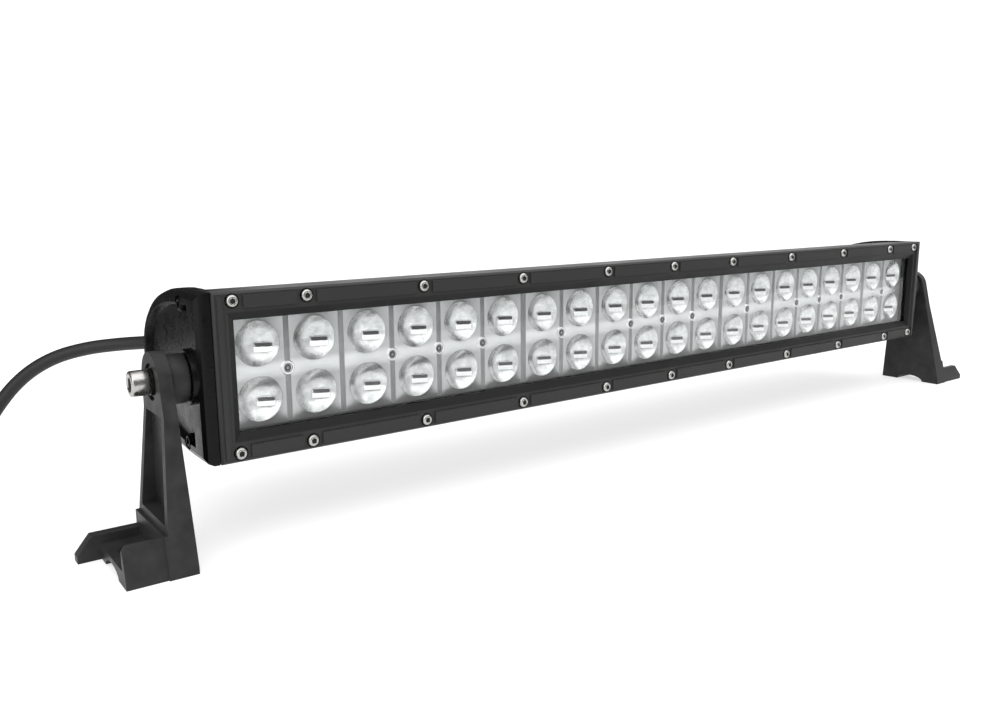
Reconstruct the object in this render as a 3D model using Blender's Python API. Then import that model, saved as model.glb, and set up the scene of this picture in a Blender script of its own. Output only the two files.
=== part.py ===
"""Double-row LED light bar on two slotted swing brackets, with its supply cord.

Units are metres, written as millimetres times MM. Everything is laid out round
the middle of the bar's front face: X runs along the bar, Y runs backwards from
the face and Z runs up. The empty bar_frame then sets that point over the floor,
so that the world origin is on the floor, under the middle of the object.
"""

from math import ceil, cos, pi, radians, sin

import bmesh
import bpy
from mathutils import Vector

MM = 0.001
GAP = 0.3 * MM

# Driving dimensions of the lamp
FACE_HALF_HEIGHT = 35.0 * MM
BODY_DEPTH = 84.0 * MM
BEZEL_HALF_LENGTH = 262.0 * MM
BEZEL_DEPTH = 8.0 * MM
WINDOW_HALF_LENGTH = 253.0 * MM
WINDOW_HALF_HEIGHT = 23.2 * MM
LED_PITCH = 25.4 * MM
LED_ROW_Z = 11.7 * MM
LED_COLUMNS = 20
MODULE_COLUMNS = (6, 6, 6, 2)

# Lens, gaskets and the extruded housing
LENS_FRONT = 4.5 * MM
LENS_THICKNESS = 3.0 * MM
LENS_HALF_LENGTH = 256.5 * MM
LENS_HALF_HEIGHT = 26.5 * MM
HOUSING_HALF_LENGTH = 258.0 * MM
HOUSING_FRONT = BEZEL_DEPTH + GAP
CAVITY_HALF_HEIGHT = 23.8 * MM
CAVITY_FLOOR = 22.5 * MM
BASE_BACK = 26.5 * MM
TUNNEL_BACK = 40.0 * MM
TUNNEL_HALF_HEIGHT = 13.8 * MM
TUNNEL_WALL = 2.6 * MM
CURVE_START = 20.0 * MM
BACK_ROUNDNESS = 2.25
FIN_INSET = 1.5 * MM
FINS = ((0.0, 3.0), (8.6, 0.9), (15.8, 0.9), (22.6, 0.9), (29.4, 0.9))

# End caps: distances from the middle of the bar, and the pivot boss
CAP_INNER = 259.3 * MM
CAP_OUTER = 268.0 * MM
CAP_FIELD = 265.5 * MM
CAP_FRONT = 2.0 * MM
BOSS_FACE = 270.0 * MM
BOSS_RADIUS = 11.5 * MM
PIVOT_Y = 16.0 * MM
CAP_SCREWS = ((24.4 * MM, 28.8 * MM), (24.4 * MM, -28.8 * MM), (70.0 * MM, 0.0))

# Screws round the bezel, in LED pitches from the middle
BEZEL_SCREW_PITCHES = (0.0, 2.0, 4.25, 6.5, 8.75, 10.0)
BEZEL_SCREW_Z = 31.2 * MM
SCREW_POCKET_RADIUS = 3.1 * MM
SCREW_POCKET_DEPTH = 1.9 * MM
SCREW_HEAD_RADIUS = 2.6 * MM
NOTCH_LOW = 27.9 * MM
NOTCH_HIGH = 33.6 * MM
NOTCH_HALF_LENGTH = 4.4 * MM
NOTCH_DEPTH = 0.9 * MM
SCREW_SHANK_RADIUS = 1.5 * MM

# Brackets: distances from the middle of the bar, from the pivot, and heights
BRACKET_INNER = 278.0 * MM
LEG_TOP_OUTER = 283.4 * MM
LEG_FOOT_OUTER = 288.0 * MM
LEG_WEB_OUTER = 281.2 * MM
CHANNEL_START = 289.5 * MM
FOOT_OUTER = 305.0 * MM
FOOT_TOE = 314.0 * MM
PIVOT_TO_FLOOR = 72.0 * MM
FOOT_HEIGHT = 16.5 * MM
CHANNEL_FLOOR = 6.5 * MM
TOE_WALL_HEIGHT = 10.5 * MM
LEG_TOP_RADIUS = 12.0 * MM
PANEL_TOP = -12.5 * MM
PANEL_BOTTOM = -52.5 * MM
FLARE_FRONT = 29.0 * MM
FLARE_BACK = 15.0 * MM
FLANGE = 3.8 * MM
FOOT_WALL = 5.5 * MM
WALL_SET_BACK = 0.8 * MM
BOLT_RADIUS = 3.0 * MM
BOLT_HOLE_RADIUS = 3.4 * MM
COUNTERBORE_RADIUS = 7.4 * MM
SLOT_RADIUS = 4.5 * MM
SLOT_STRETCH = 3.5 * MM

# Cord, as a route through points round the face's middle, millimetres
CORD_RADIUS = 3.5 * MM
CORD_STEP = 15.0 * MM
GLAND_X = -236.0 * MM
STRAIN_RELIEF_LENGTH = 32.4 * MM
CORD_ROUTE = (
    (-236.0, 91.0, 0.0), (-236.2, 102.0, -0.3), (-238.5, 114.0, -1.2), (-243.5, 126.5, -2.4),
    (-252.0, 138.5, -3.6), (-263.0, 149.0, -4.8), (-276.0, 157.5, -6.6), (-289.0, 164.5, -10.2),
    (-300.0, 169.5, -16.0), (-309.5, 173.0, -24.0), (-318.0, 174.5, -34.0),
    (-326.0, 173.0, -45.0), (-333.0, 168.5, -55.2), (-339.0, 160.5, -63.0),
    (-343.0, 150.0, -67.2), (-345.5, 139.0, -68.3), (-346.5, 126.0, -68.4),
    (-347.5, 112.0, -68.4), (-352.0, 99.0, -68.4), (-361.5, 88.5, -68.4), (-375.0, 83.0, -68.4),
    (-390.0, 84.5, -68.4), (-402.0, 93.0, -68.4), (-409.0, 106.0, -68.4), (-411.5, 121.0, -68.4),
    (-411.5, 136.0, -68.3), (-410.5, 151.0, -67.6), (-409.0, 165.0, -66.2),
)
CONNECTOR_SIZE = (15.0 * MM, 30.0 * MM, 11.6 * MM)

FOOT_FRONT = PIVOT_Y - FLARE_FRONT
FACE_Y = -(BODY_DEPTH + FOOT_FRONT) / 2


def clear_scene():
    for obj in list(bpy.data.objects):
        bpy.data.objects.remove(obj, do_unlink=True)


def make_material(name, colour, roughness, metallic):
    mat = bpy.data.materials.new(name)
    mat.use_nodes = True
    shader = mat.node_tree.nodes["Principled BSDF"]
    shader.inputs["Base Color"].default_value = (*colour, 1.0)
    shader.inputs["Roughness"].default_value = roughness
    shader.inputs["Metallic"].default_value = metallic
    mat.diffuse_color = (*colour, 1.0)
    return mat


def make_object(name, bm, look, at=(0.0, 0.0, 0.0)):
    """Turn a bmesh into a node that hangs on bar_frame, with a material of its own."""
    bmesh.ops.recalc_face_normals(bm, faces=bm.faces[:])
    mesh = bpy.data.meshes.new(name)
    bm.to_mesh(mesh)
    bm.free()
    mesh.shade_smooth()
    mesh.set_sharp_from_angle(angle=radians(35.0))
    obj = bpy.data.objects.new(name, mesh)
    bpy.context.scene.collection.objects.link(obj)
    obj.parent = bpy.data.objects["bar_frame"]
    obj.location = at
    mesh.materials.append(make_material(name, *look))
    return obj


def add_prism(bm, outline, axis, start, end):
    """A closed outline in the plane across axis, extruded from start to end."""
    def point(u, v, w):
        return {"X": (w, u, v), "Y": (u, w, v), "Z": (u, v, w)}[axis]

    near = [bm.verts.new(point(u, v, start)) for u, v in outline]
    far = [bm.verts.new(point(u, v, end)) for u, v in outline]
    bm.faces.new(near)
    bm.faces.new(far)
    for i in range(len(outline)):
        j = (i + 1) % len(outline)
        bm.faces.new((near[i], near[j], far[j], far[i]))


def add_box(bm, low, high):
    corners = ((low[0], low[1]), (high[0], low[1]), (high[0], high[1]), (low[0], high[1]))
    add_prism(bm, corners, "Z", low[2], high[2])


def join_rings(bm, rings, closed):
    """Skin a list of equal vertex rings, capped at both ends or closed on itself."""
    count = len(rings[0])
    pairs = list(zip(rings, rings[1:]))
    if closed:
        pairs.append((rings[-1], rings[0]))
    else:
        bm.faces.new(rings[0])
        bm.faces.new(rings[-1])
    for a, b in pairs:
        for i in range(count):
            j = (i + 1) % count
            bm.faces.new((a[i], a[j], b[j], b[i]))


def add_turned(bm, profile, axis, centre=(0.0, 0.0, 0.0), count=16, closed=False, hexagonal=()):
    """Turn (radius, height) pairs about an axis. Rings in hexagonal get six flats."""
    rings = []
    for index, (radius, height) in enumerate(profile):
        ring = []
        for i in range(count):
            angle = 2 * pi * i / count
            reach = radius
            if index in hexagonal:
                reach = radius / cos((angle + pi / 6) % (pi / 3) - pi / 6)
            u, v = reach * cos(angle), reach * sin(angle)
            place = {"X": (height, u, v), "Y": (u, height, v), "Z": (u, v, height)}[axis]
            ring.append(bm.verts.new(Vector(centre) + Vector(place)))
        rings.append(ring)
    join_rings(bm, rings, closed)


def boolean(obj, bm, operation, name):
    """Cut or join obj with the solids in bm, through a hidden guide object."""
    bmesh.ops.recalc_face_normals(bm, faces=bm.faces[:])
    mesh = bpy.data.meshes.new(name)
    bm.to_mesh(mesh)
    bm.free()
    guide = bpy.data.objects.new(name, mesh)
    bpy.context.scene.collection.objects.link(guide)
    guide.parent = obj
    guide.hide_render = True
    guide.display_type = "WIRE"
    modifier = obj.modifiers.new(name, "BOOLEAN")
    modifier.operation = operation
    modifier.object = guide
    modifier.solver = "EXACT"


def rectangle_frame(bm, sections):
    """A rectangular frame from a closed list of (half length, half height, y) rectangles."""
    rings = []
    for half_x, half_z, y in sections:
        corners = ((-half_x, -half_z), (half_x, -half_z), (half_x, half_z), (-half_x, half_z))
        rings.append([bm.verts.new((x, y, z)) for x, z in corners])
    join_rings(bm, rings, closed=True)


def body_outline(inset=0.0, front=CAP_FRONT, arc_points=29):
    """The lamp's end view as (y, z): flat top and bottom, and a full rounded back."""
    half = FACE_HALF_HEIGHT - inset
    reach = BODY_DEPTH - CURVE_START - inset
    outline = [(front, -half), (front, half)]
    for i in range(arc_points):
        angle = pi * i / (arc_points - 1)
        back, up = sin(angle), cos(angle)
        y = CURVE_START + reach * max(0.0, back) ** (2 / BACK_ROUNDNESS)
        z = half * abs(up) ** (2 / BACK_ROUNDNESS) * (1 if up > 0 else -1)
        outline.append((y, z))
    return outline


def fin_tip(z):
    """How far back the fins reach at height z."""
    half = FACE_HALF_HEIGHT - FIN_INSET
    reach = BODY_DEPTH - CURVE_START - FIN_INSET
    return CURVE_START + reach * (1 - abs(z / half) ** BACK_ROUNDNESS) ** (1 / BACK_ROUNDNESS)


def fin_side(sign):
    """Points of the fins over (sign 1) or under (sign -1) the middle, from the middle out."""
    tunnel_top = TUNNEL_HALF_HEIGHT + TUNNEL_WALL
    tunnel_outside = TUNNEL_BACK + TUNNEL_WALL
    points = []
    for index, (centre, half) in enumerate(FINS):
        low, high = (centre - half) * MM, (centre + half) * MM
        if index:
            floor = tunnel_outside if low < tunnel_top else BASE_BACK
            points += [(floor, low), (fin_tip(low), low)]
        if index < len(FINS) - 1:
            points += [(fin_tip(high), high)]
            floor = tunnel_outside if high < tunnel_top else BASE_BACK
            points += [(floor, high)]
            if high < tunnel_top < (FINS[index + 1][0] - FINS[index + 1][1]) * MM:
                points += [(floor, tunnel_top), (BASE_BACK, tunnel_top)]
    half = FACE_HALF_HEIGHT - FIN_INSET / 2
    last = (FINS[-1][0] + FINS[-1][1]) * MM
    points += [(fin_tip(last), last), (fin_tip(half - 1.6 * MM), half - 1.6 * MM)]
    points += [(CURVE_START, half), (HOUSING_FRONT, half)]
    return [(y, sign * z) for y, z in points]


def make_housing():
    gasket_seat = HOUSING_FRONT + 1.6 * MM
    rim_back = HOUSING_FRONT + 4.7 * MM
    pocket_half = 27.0 * MM
    seat_half = 26.9 * MM
    cavity = [
        (HOUSING_FRONT, seat_half), (gasket_seat, seat_half), (gasket_seat, CAVITY_HALF_HEIGHT),
        (rim_back, CAVITY_HALF_HEIGHT), (rim_back, pocket_half), (CAVITY_FLOOR, pocket_half),
    ]
    outline = fin_side(1) + cavity
    outline += [(y, -z) for y, z in reversed(cavity)]
    outline += list(reversed(fin_side(-1)))
    bm = bmesh.new()
    add_prism(bm, outline, "X", -HOUSING_HALF_LENGTH, HOUSING_HALF_LENGTH)
    housing = make_object("housing", bm, ((0.015, 0.015, 0.017), 0.42, 0.6))

    tunnel = bmesh.new()
    beyond = HOUSING_HALF_LENGTH + 5 * MM
    half = TUNNEL_HALF_HEIGHT
    add_box(tunnel, (-beyond, BASE_BACK, -half), (beyond, TUNNEL_BACK, half))
    boolean(housing, tunnel, "DIFFERENCE", "driver_tunnel_cutter")

    pocket = bmesh.new()
    wall = TUNNEL_BACK + TUNNEL_WALL
    low, high = GLAND_X - 14 * MM, GLAND_X + 14 * MM
    add_box(pocket, (low, wall, -13.0 * MM), (high, BODY_DEPTH + 5 * MM, 13.0 * MM))
    boolean(housing, pocket, "DIFFERENCE", "gland_pocket_cutter")
    inlet = bmesh.new()
    through = ((5.8 * MM, TUNNEL_BACK - 2 * MM), (5.8 * MM, wall + 1 * MM))
    add_turned(inlet, through, "Y", (GLAND_X, 0, 0))
    boolean(housing, inlet, "DIFFERENCE", "gland_inlet_cutter")

    holes = bmesh.new()
    radius = SCREW_SHANK_RADIUS + GAP
    for x, z in bezel_screw_places():
        add_turned(holes, ((radius, 0.0), (radius, 18 * MM)), "Y", (x, 0, z), count=8)
    for side in (-1, 1):
        for y, z in CAP_SCREWS:
            bore = ((radius, side * 244 * MM), (radius, side * 262 * MM))
            add_turned(holes, bore, "X", (0, y, z), count=8)
    boolean(housing, holes, "DIFFERENCE", "thread_cutter")


def bezel_screw_places():
    places = []
    for pitch in BEZEL_SCREW_PITCHES:
        for side in ((-1, 1) if pitch else (1,)):
            for row in (1, -1):
                places.append((side * pitch * LED_PITCH, row * BEZEL_SCREW_Z))
    return places


def make_bezel():
    """Front frame: chamfered outer edge, flat band for the screws, step and bevel to the lens."""
    band = 3.4 * MM
    lip = 3.2 * MM
    rebate = 0.5 * MM
    outer = (BEZEL_HALF_LENGTH, FACE_HALF_HEIGHT)
    window = (WINDOW_HALF_LENGTH, WINDOW_HALF_HEIGHT)
    sections = (
        (outer[0], outer[1], BEZEL_DEPTH),
        (outer[0], outer[1], 1.6 * MM),
        (outer[0] - 0.9 * MM, outer[1] - 0.9 * MM, 0.7 * MM),
        (outer[0] - 1.7 * MM, outer[1] - 1.7 * MM, 0.7 * MM),
        (outer[0] - 1.7 * MM, outer[1] - 1.7 * MM, 0.0),
        (window[0] + band + 1.6 * MM, window[1] + band + 1.6 * MM, 0.0),
        (window[0] + band + 1.6 * MM, window[1] + band + 1.6 * MM, 1.1 * MM),
        (window[0] + band, window[1] + band, 1.1 * MM),
        (window[0], window[1], lip),
        (window[0], window[1], LENS_FRONT - GAP),
        (LENS_HALF_LENGTH + rebate, LENS_HALF_HEIGHT + rebate, LENS_FRONT - GAP),
        (LENS_HALF_LENGTH + rebate, LENS_HALF_HEIGHT + rebate, BEZEL_DEPTH),
    )
    bm = bmesh.new()
    rectangle_frame(bm, sections)
    bezel = make_object("bezel", bm, ((0.018, 0.018, 0.020), 0.38, 0.5))
    notches = bmesh.new()
    for x, z in bezel_screw_places():
        row = 1 if z > 0 else -1
        low, high = sorted((row * NOTCH_LOW, row * NOTCH_HIGH))
        half = NOTCH_HALF_LENGTH
        add_box(notches, (x - half, -1.0 * MM, low), (x + half, NOTCH_DEPTH, high))
    boolean(bezel, notches, "DIFFERENCE", "bezel_notch_cutter")
    pockets = bmesh.new()
    for x, z in bezel_screw_places():
        hole = SCREW_SHANK_RADIUS + GAP
        profile = (
            (SCREW_POCKET_RADIUS, -1.0 * MM), (SCREW_POCKET_RADIUS, SCREW_POCKET_DEPTH),
            (hole, SCREW_POCKET_DEPTH), (hole, BEZEL_DEPTH + 1.0 * MM),
        )
        add_turned(pockets, profile, "Y", (x, 0, z), count=12)
    boolean(bezel, pockets, "DIFFERENCE", "bezel_pocket_cutter")


def make_screw(name, at, along, sign, head_radius, head_height, length):
    """Button head screw. The head's seat is at height 0, and the shank runs to sign * length."""
    shank = SCREW_SHANK_RADIUS
    profile = (
        (1.2 * MM, -sign * head_height * 0.45),
        (1.4 * MM, -sign * head_height),
        (head_radius * 0.72, -sign * head_height),
        (head_radius, -sign * head_height * 0.4),
        (head_radius, 0.0),
        (shank, 0.0),
        (shank, sign * length),
    )
    bm = bmesh.new()
    add_turned(bm, profile, along, count=10)
    make_object(name, bm, ((0.72, 0.71, 0.69), 0.24, 1.0), at)


def make_bezel_screws():
    seat = SCREW_POCKET_DEPTH - GAP
    for number, (x, z) in enumerate(bezel_screw_places(), start=1):
        name = f"bezel_screw_{number:02d}"
        make_screw(name, (x, seat, z), "Y", 1, SCREW_HEAD_RADIUS, 2.0 * MM, 14 * MM)


def make_lens_and_gasket():
    bm = bmesh.new()
    add_box(
        bm,
        (-LENS_HALF_LENGTH, LENS_FRONT, -LENS_HALF_HEIGHT),
        (LENS_HALF_LENGTH, LENS_FRONT + LENS_THICKNESS, LENS_HALF_HEIGHT),
    )
    make_object("lens", bm, ((0.85, 0.88, 0.90), 0.05, 0.0))
    front = LENS_FRONT + LENS_THICKNESS + GAP
    back = HOUSING_FRONT + 1.6 * MM - GAP
    outer = (LENS_HALF_LENGTH - 0.5 * MM, LENS_HALF_HEIGHT - 0.2 * MM)
    inner = (LENS_HALF_LENGTH - 3.5 * MM, LENS_HALF_HEIGHT - 3.2 * MM)
    bm = bmesh.new()
    rectangle_frame(bm, ((*outer, back), (*outer, front), (*inner, front), (*inner, back)))
    make_object("lens_gasket", bm, ((0.02, 0.02, 0.02), 0.8, 0.0))


def add_bowl_cell(bm, low, high, centre, front, back):
    """One cell of a reflector block: a rectangle with a bowl that is open at its bottom."""
    count = 12
    bowl = ((10.3 * MM, front), (8.2 * MM, front + 5.0 * MM), (3.4 * MM, back))
    (x0, z0), (x1, z1) = low, high
    border = []
    for (ax, az), (bx, bz) in (
        ((x1, z0), (x1, z1)), ((x1, z1), (x0, z1)), ((x0, z1), (x0, z0)), ((x0, z0), (x1, z0))
    ):
        for i in range(count // 4):
            t = i / (count // 4)
            border.append((ax + (bx - ax) * t, az + (bz - az) * t))
    rings = [[bm.verts.new((x, front, z)) for x, z in border]]
    for radius, y in bowl:
        ring = []
        for i in range(count):
            angle = 2 * pi * i / count - pi / 4
            ring.append(bm.verts.new((centre[0] + radius * cos(angle), y, centre[1] + radius * sin(angle))))
        rings.append(ring)
    rings.append([bm.verts.new((x, back, z)) for x, z in border])
    for a, b in zip(rings, rings[1:]):
        for i in range(count):
            j = (i + 1) % count
            bm.faces.new((a[i], a[j], b[j], b[i]))


def make_reflectors():
    """Four metallised blocks of bowls, two rows deep."""
    front, back = 10.2 * MM, 20.4 * MM
    half = CAVITY_HALF_HEIGHT - GAP
    left = -LED_COLUMNS * LED_PITCH / 2
    first = 0
    for number, columns in enumerate(MODULE_COLUMNS, start=1):
        bm = bmesh.new()
        start = left + first * LED_PITCH + GAP / 2
        stop = left + (first + columns) * LED_PITCH - GAP / 2
        for column in range(columns):
            x0 = start if column == 0 else left + (first + column) * LED_PITCH
            x1 = stop if column == columns - 1 else left + (first + column + 1) * LED_PITCH
            middle = left + (first + column + 0.5) * LED_PITCH
            add_bowl_cell(bm, (x0, 0.0), (x1, half), (middle, LED_ROW_Z), front, back)
            add_bowl_cell(bm, (x0, -half), (x1, 0.0), (middle, -LED_ROW_Z), front, back)
        bmesh.ops.remove_doubles(bm, verts=bm.verts[:], dist=0.01 * MM)
        close_sides(bm)
        make_object(f"reflector_module_{number}", bm, ((0.82, 0.83, 0.85), 0.08, 1.0))
        first += columns


def close_sides(bm):
    """Wall the block's four sides, front edge to back edge."""
    open_edges = [edge for edge in bm.edges if edge.is_boundary]
    bmesh.ops.bridge_loops(bm, edges=open_edges)


def make_boards():
    front, back = 20.7 * MM, 22.2 * MM
    half_length = 252.0 * MM
    for name, low, high in (("led_board_upper", 0.3, 22.0), ("led_board_lower", -22.0, -0.3)):
        bm = bmesh.new()
        add_box(bm, (-half_length, front, low * MM), (half_length, back, high * MM))
        make_object(name, bm, ((0.86, 0.87, 0.86), 0.45, 0.0))

    bm = bmesh.new()
    board_front = BASE_BACK + 2.0 * MM
    board_back = board_front + 1.6 * MM
    add_box(bm, (-190 * MM, board_front, -12.5 * MM), (150 * MM, board_back, 12.5 * MM))
    driver = make_object("driver_board", bm, ((0.03, 0.16, 0.07), 0.5, 0.0))
    parts = bmesh.new()
    blocks = ((-165, 26, 8.5), (-115, 18, 6.0), (-60, 34, 9.0), (0, 22, 7.0), (60, 30, 9.0), (118, 20, 6.5))
    for x, length, height in blocks:
        low = ((x - length / 2) * MM, board_back - 0.5 * MM, -9 * MM)
        high = ((x + length / 2) * MM, board_back + height * MM, 9 * MM)
        add_box(parts, low, high)
    boolean(driver, parts, "UNION", "driver_parts_guide")


def make_cap(side):
    """End cap: rounded rim, sunk field, and the boss that takes the pivot bolt."""
    label = "left" if side < 0 else "right"
    field_front = 14.0 * MM
    sections = (
        (CAP_INNER, 0.0, CAP_FRONT),
        (CAP_OUTER - 3.4 * MM, 0.0, CAP_FRONT),
        (CAP_OUTER - 1.2 * MM, 1.0 * MM, CAP_FRONT + 1.0 * MM),
        (CAP_OUTER, 3.2 * MM, CAP_FRONT + 3.2 * MM),
        (CAP_OUTER, 5.6 * MM, field_front),
        (CAP_FIELD, 6.4 * MM, field_front + 0.8 * MM),
    )
    bm = bmesh.new()
    rings = []
    for x, inset, front in sections:
        rings.append([bm.verts.new((side * x, y, z)) for y, z in body_outline(inset, front)])
    join_rings(bm, rings, closed=False)
    cap = make_object(f"end_cap_{label}", bm, ((0.016, 0.016, 0.018), 0.40, 0.5))

    extra = bmesh.new()
    boss = ((BOSS_RADIUS, side * (CAP_FIELD - 2 * MM)), (BOSS_RADIUS, side * BOSS_FACE))
    add_turned(extra, boss, "X", (0, PIVOT_Y, 0), count=48)
    boolean(cap, extra, "UNION", f"boss_guide_{label}")

    cuts = bmesh.new()
    notch = sorted((side * (CAP_INNER - 5 * MM), side * (BEZEL_HALF_LENGTH + GAP)))
    add_box(cuts, (notch[0], -5 * MM, -40 * MM), (notch[1], HOUSING_FRONT, 40 * MM))
    bore = (
        (BOLT_RADIUS + GAP, side * (CAP_INNER + 1.2 * MM)),
        (BOLT_RADIUS + GAP, side * (BOSS_FACE + 3 * MM)),
    )
    add_turned(cuts, bore, "X", (0, PIVOT_Y, 0), count=16)
    for y, z in CAP_SCREWS:
        hole = SCREW_SHANK_RADIUS + GAP
        profile = (
            (hole, side * (CAP_INNER - 3 * MM)), (hole, side * CAP_FIELD),
            (3.9 * MM, side * CAP_FIELD), (3.9 * MM, side * (CAP_OUTER + 3 * MM)),
        )
        add_turned(cuts, profile, "X", (0, y, z), count=20)
    boolean(cap, cuts, "DIFFERENCE", f"cap_cutter_{label}")

    for number, (y, z) in enumerate(CAP_SCREWS, start=1):
        at = (side * (CAP_FIELD + GAP), y, z)
        make_screw(f"cap_screw_{label}_{number}", at, "X", -side, 3.3 * MM, 2.2 * MM, 14 * MM)

    gasket = bmesh.new()
    loops = []
    for x, inset in ((258.3, 0.9), (259.0, 0.9), (259.0, 2.2), (258.3, 2.2)):
        outline = body_outline(inset * MM, HOUSING_FRONT + inset * MM)
        loops.append([gasket.verts.new((side * x * MM, y, z)) for y, z in outline])
    join_rings(gasket, loops, closed=True)
    make_object(f"cap_gasket_{label}", gasket, ((0.02, 0.02, 0.02), 0.85, 0.0))


def make_vent():
    bm = bmesh.new()
    profile = ((5.2, 0.3), (5.2, 2.6), (4.2, 3.6), (1.6, 3.6))
    add_turned(bm, [(r * MM, CAP_FIELD + h * MM) for r, h in profile], "X", count=12)
    make_object("vent_plug", bm, ((0.02, 0.02, 0.02), 0.6, 0.0), (0, 51.0 * MM, -15.5 * MM))


def bracket_side_outline():
    """The leg and foot seen along X, round the pivot: round top, flared to the front."""
    bottom = -PIVOT_TO_FLOOR
    outline = [(-FLARE_FRONT, bottom), (-FLARE_FRONT, bottom + 3 * MM)]
    steps = 20
    for i in range(steps + 1):
        angle = radians(170.0) - radians(160.0) * i / steps
        outline.append((LEG_TOP_RADIUS * cos(angle), LEG_TOP_RADIUS * sin(angle)))
    outline += [(FLARE_BACK, bottom + 3 * MM), (FLARE_BACK, bottom)]
    return outline


def leg_edges(height):
    """The leg's front and back edge round the pivot, at a height under it."""
    share = -height / (PIVOT_TO_FLOOR - 3 * MM)
    front = LEG_TOP_RADIUS + (FLARE_FRONT - LEG_TOP_RADIUS) * share
    back = LEG_TOP_RADIUS + (FLARE_BACK - LEG_TOP_RADIUS) * share
    return -front, back


def make_bracket(side):
    """Cast leg with a channel foot that points away from the lamp.

    One wall of the foot runs out to a long sloped toe: the back one on the left
    bracket and the front one on the right.
    """
    name = "mounting_bracket_left" if side < 0 else "mounting_bracket_right"
    floor = -PIVOT_TO_FLOOR
    foot_top = floor + FOOT_HEIGHT
    far = FOOT_TOE + 3 * MM
    bm = bmesh.new()
    add_prism(bm, bracket_side_outline(), "X", side * BRACKET_INNER, side * far)
    look = ((0.017, 0.017, 0.019), 0.38, 0.5)
    bracket = make_object(name, bm, look, (0.0, PIVOT_Y, 0.0))

    profile = (
        (BRACKET_INNER - 1 * MM, floor - 1 * MM), (BRACKET_INNER - 1 * MM, 15 * MM),
        (LEG_TOP_OUTER, 15 * MM), (LEG_TOP_OUTER, -LEG_TOP_RADIUS), (LEG_FOOT_OUTER, foot_top),
        (FOOT_OUTER - 1.5 * MM, foot_top), (FOOT_TOE, floor + 3 * MM), (FOOT_TOE, floor - 1 * MM),
    )
    side_profile = bmesh.new()
    add_prism(side_profile, [(side * x, z) for x, z in profile], "Y", -60 * MM, 60 * MM)
    boolean(bracket, side_profile, "INTERSECT", f"{name}_profile_guide")

    (top_front, top_back), (low_front, low_back) = leg_edges(PANEL_TOP), leg_edges(PANEL_BOTTOM)
    recess = (
        (top_front + FLANGE, PANEL_TOP), (low_front + FLANGE, PANEL_BOTTOM),
        (low_back - FLANGE, PANEL_BOTTOM), (top_back - FLANGE, PANEL_TOP),
    )
    panel = bmesh.new()
    add_prism(panel, recess, "X", side * LEG_WEB_OUTER, side * far)
    boolean(bracket, panel, "DIFFERENCE", f"{name}_panel_cutter")

    wall_front, wall_back = -FLARE_FRONT + FOOT_WALL, FLARE_BACK - FOOT_WALL
    channel = bmesh.new()
    reach = sorted((side * CHANNEL_START, side * far))
    add_box(channel, (reach[0], wall_front, floor + CHANNEL_FLOOR), (reach[1], wall_back, foot_top + 9 * MM))
    boolean(bracket, channel, "DIFFERENCE", f"{name}_channel_cutter")

    high_edge, low_edge = leg_edges(foot_top + 1 * MM)[0], leg_edges(floor + 3 * MM)[0]
    set_back = (
        (high_edge - 3 * MM, foot_top + 1 * MM), (high_edge + WALL_SET_BACK, foot_top + 1 * MM),
        (low_edge + WALL_SET_BACK, floor + 3 * MM), (low_edge + WALL_SET_BACK, floor - 1 * MM),
        (high_edge - 8 * MM, floor - 1 * MM),
    )
    step = bmesh.new()
    add_prism(step, set_back, "X", side * CHANNEL_START, side * far)
    boolean(bracket, step, "DIFFERENCE", f"{name}_step_cutter")

    toe_low, toe_high = (wall_back, 40 * MM) if side < 0 else (-40 * MM, wall_front)
    plain_low, plain_high = (-40 * MM, wall_back) if side < 0 else (wall_front, 40 * MM)
    trim = bmesh.new()
    add_box(trim, (reach[0], toe_low, floor + TOE_WALL_HEIGHT), (reach[1], toe_high, foot_top + 9 * MM))
    boolean(bracket, trim, "DIFFERENCE", f"{name}_toe_wall_cutter")
    end = bmesh.new()
    reach = sorted((side * FOOT_OUTER, side * far))
    add_box(end, (reach[0], plain_low, floor - 2 * MM), (reach[1], plain_high, foot_top + 2 * MM))
    boolean(bracket, end, "DIFFERENCE", f"{name}_end_cutter")

    middle = (FLARE_BACK - FLARE_FRONT) / 2
    outline = [(middle - 11 * MM, floor - 2 * MM)]
    for i in range(9):
        angle = pi - pi * i / 8
        outline.append((middle + 10 * MM * cos(angle), floor + 4 * MM * sin(angle)))
    outline.append((middle + 11 * MM, floor - 2 * MM))
    arch = bmesh.new()
    add_prism(arch, outline, "X", side * (BRACKET_INNER - 3 * MM), side * far)
    boolean(bracket, arch, "DIFFERENCE", f"{name}_arch_cutter")

    counterbore = bmesh.new()
    seat = ((COUNTERBORE_RADIUS, side * LEG_WEB_OUTER), (COUNTERBORE_RADIUS, side * (LEG_TOP_OUTER + 3 * MM)))
    add_turned(counterbore, seat, "X", count=40)
    boolean(bracket, counterbore, "DIFFERENCE", f"{name}_counterbore_cutter")
    bores = bmesh.new()
    bolt_hole = (
        (BOLT_HOLE_RADIUS, side * (BRACKET_INNER - 3 * MM)),
        (BOLT_HOLE_RADIUS, side * (LEG_WEB_OUTER + 2 * MM)),
    )
    add_turned(bores, bolt_hole, "X", count=24)
    slot_x = side * (CHANNEL_START + FOOT_OUTER) / 2
    slot = []
    for i in range(16):
        angle = 2 * pi * i / 16
        stretch = SLOT_STRETCH if sin(angle) > 0.01 else -SLOT_STRETCH
        slot.append((slot_x + SLOT_RADIUS * cos(angle), middle + SLOT_RADIUS * sin(angle) + stretch))
    add_prism(bores, slot, "Z", floor - 3 * MM, foot_top + 5 * MM)
    boolean(bracket, bores, "DIFFERENCE", f"{name}_bore_cutter")


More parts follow.
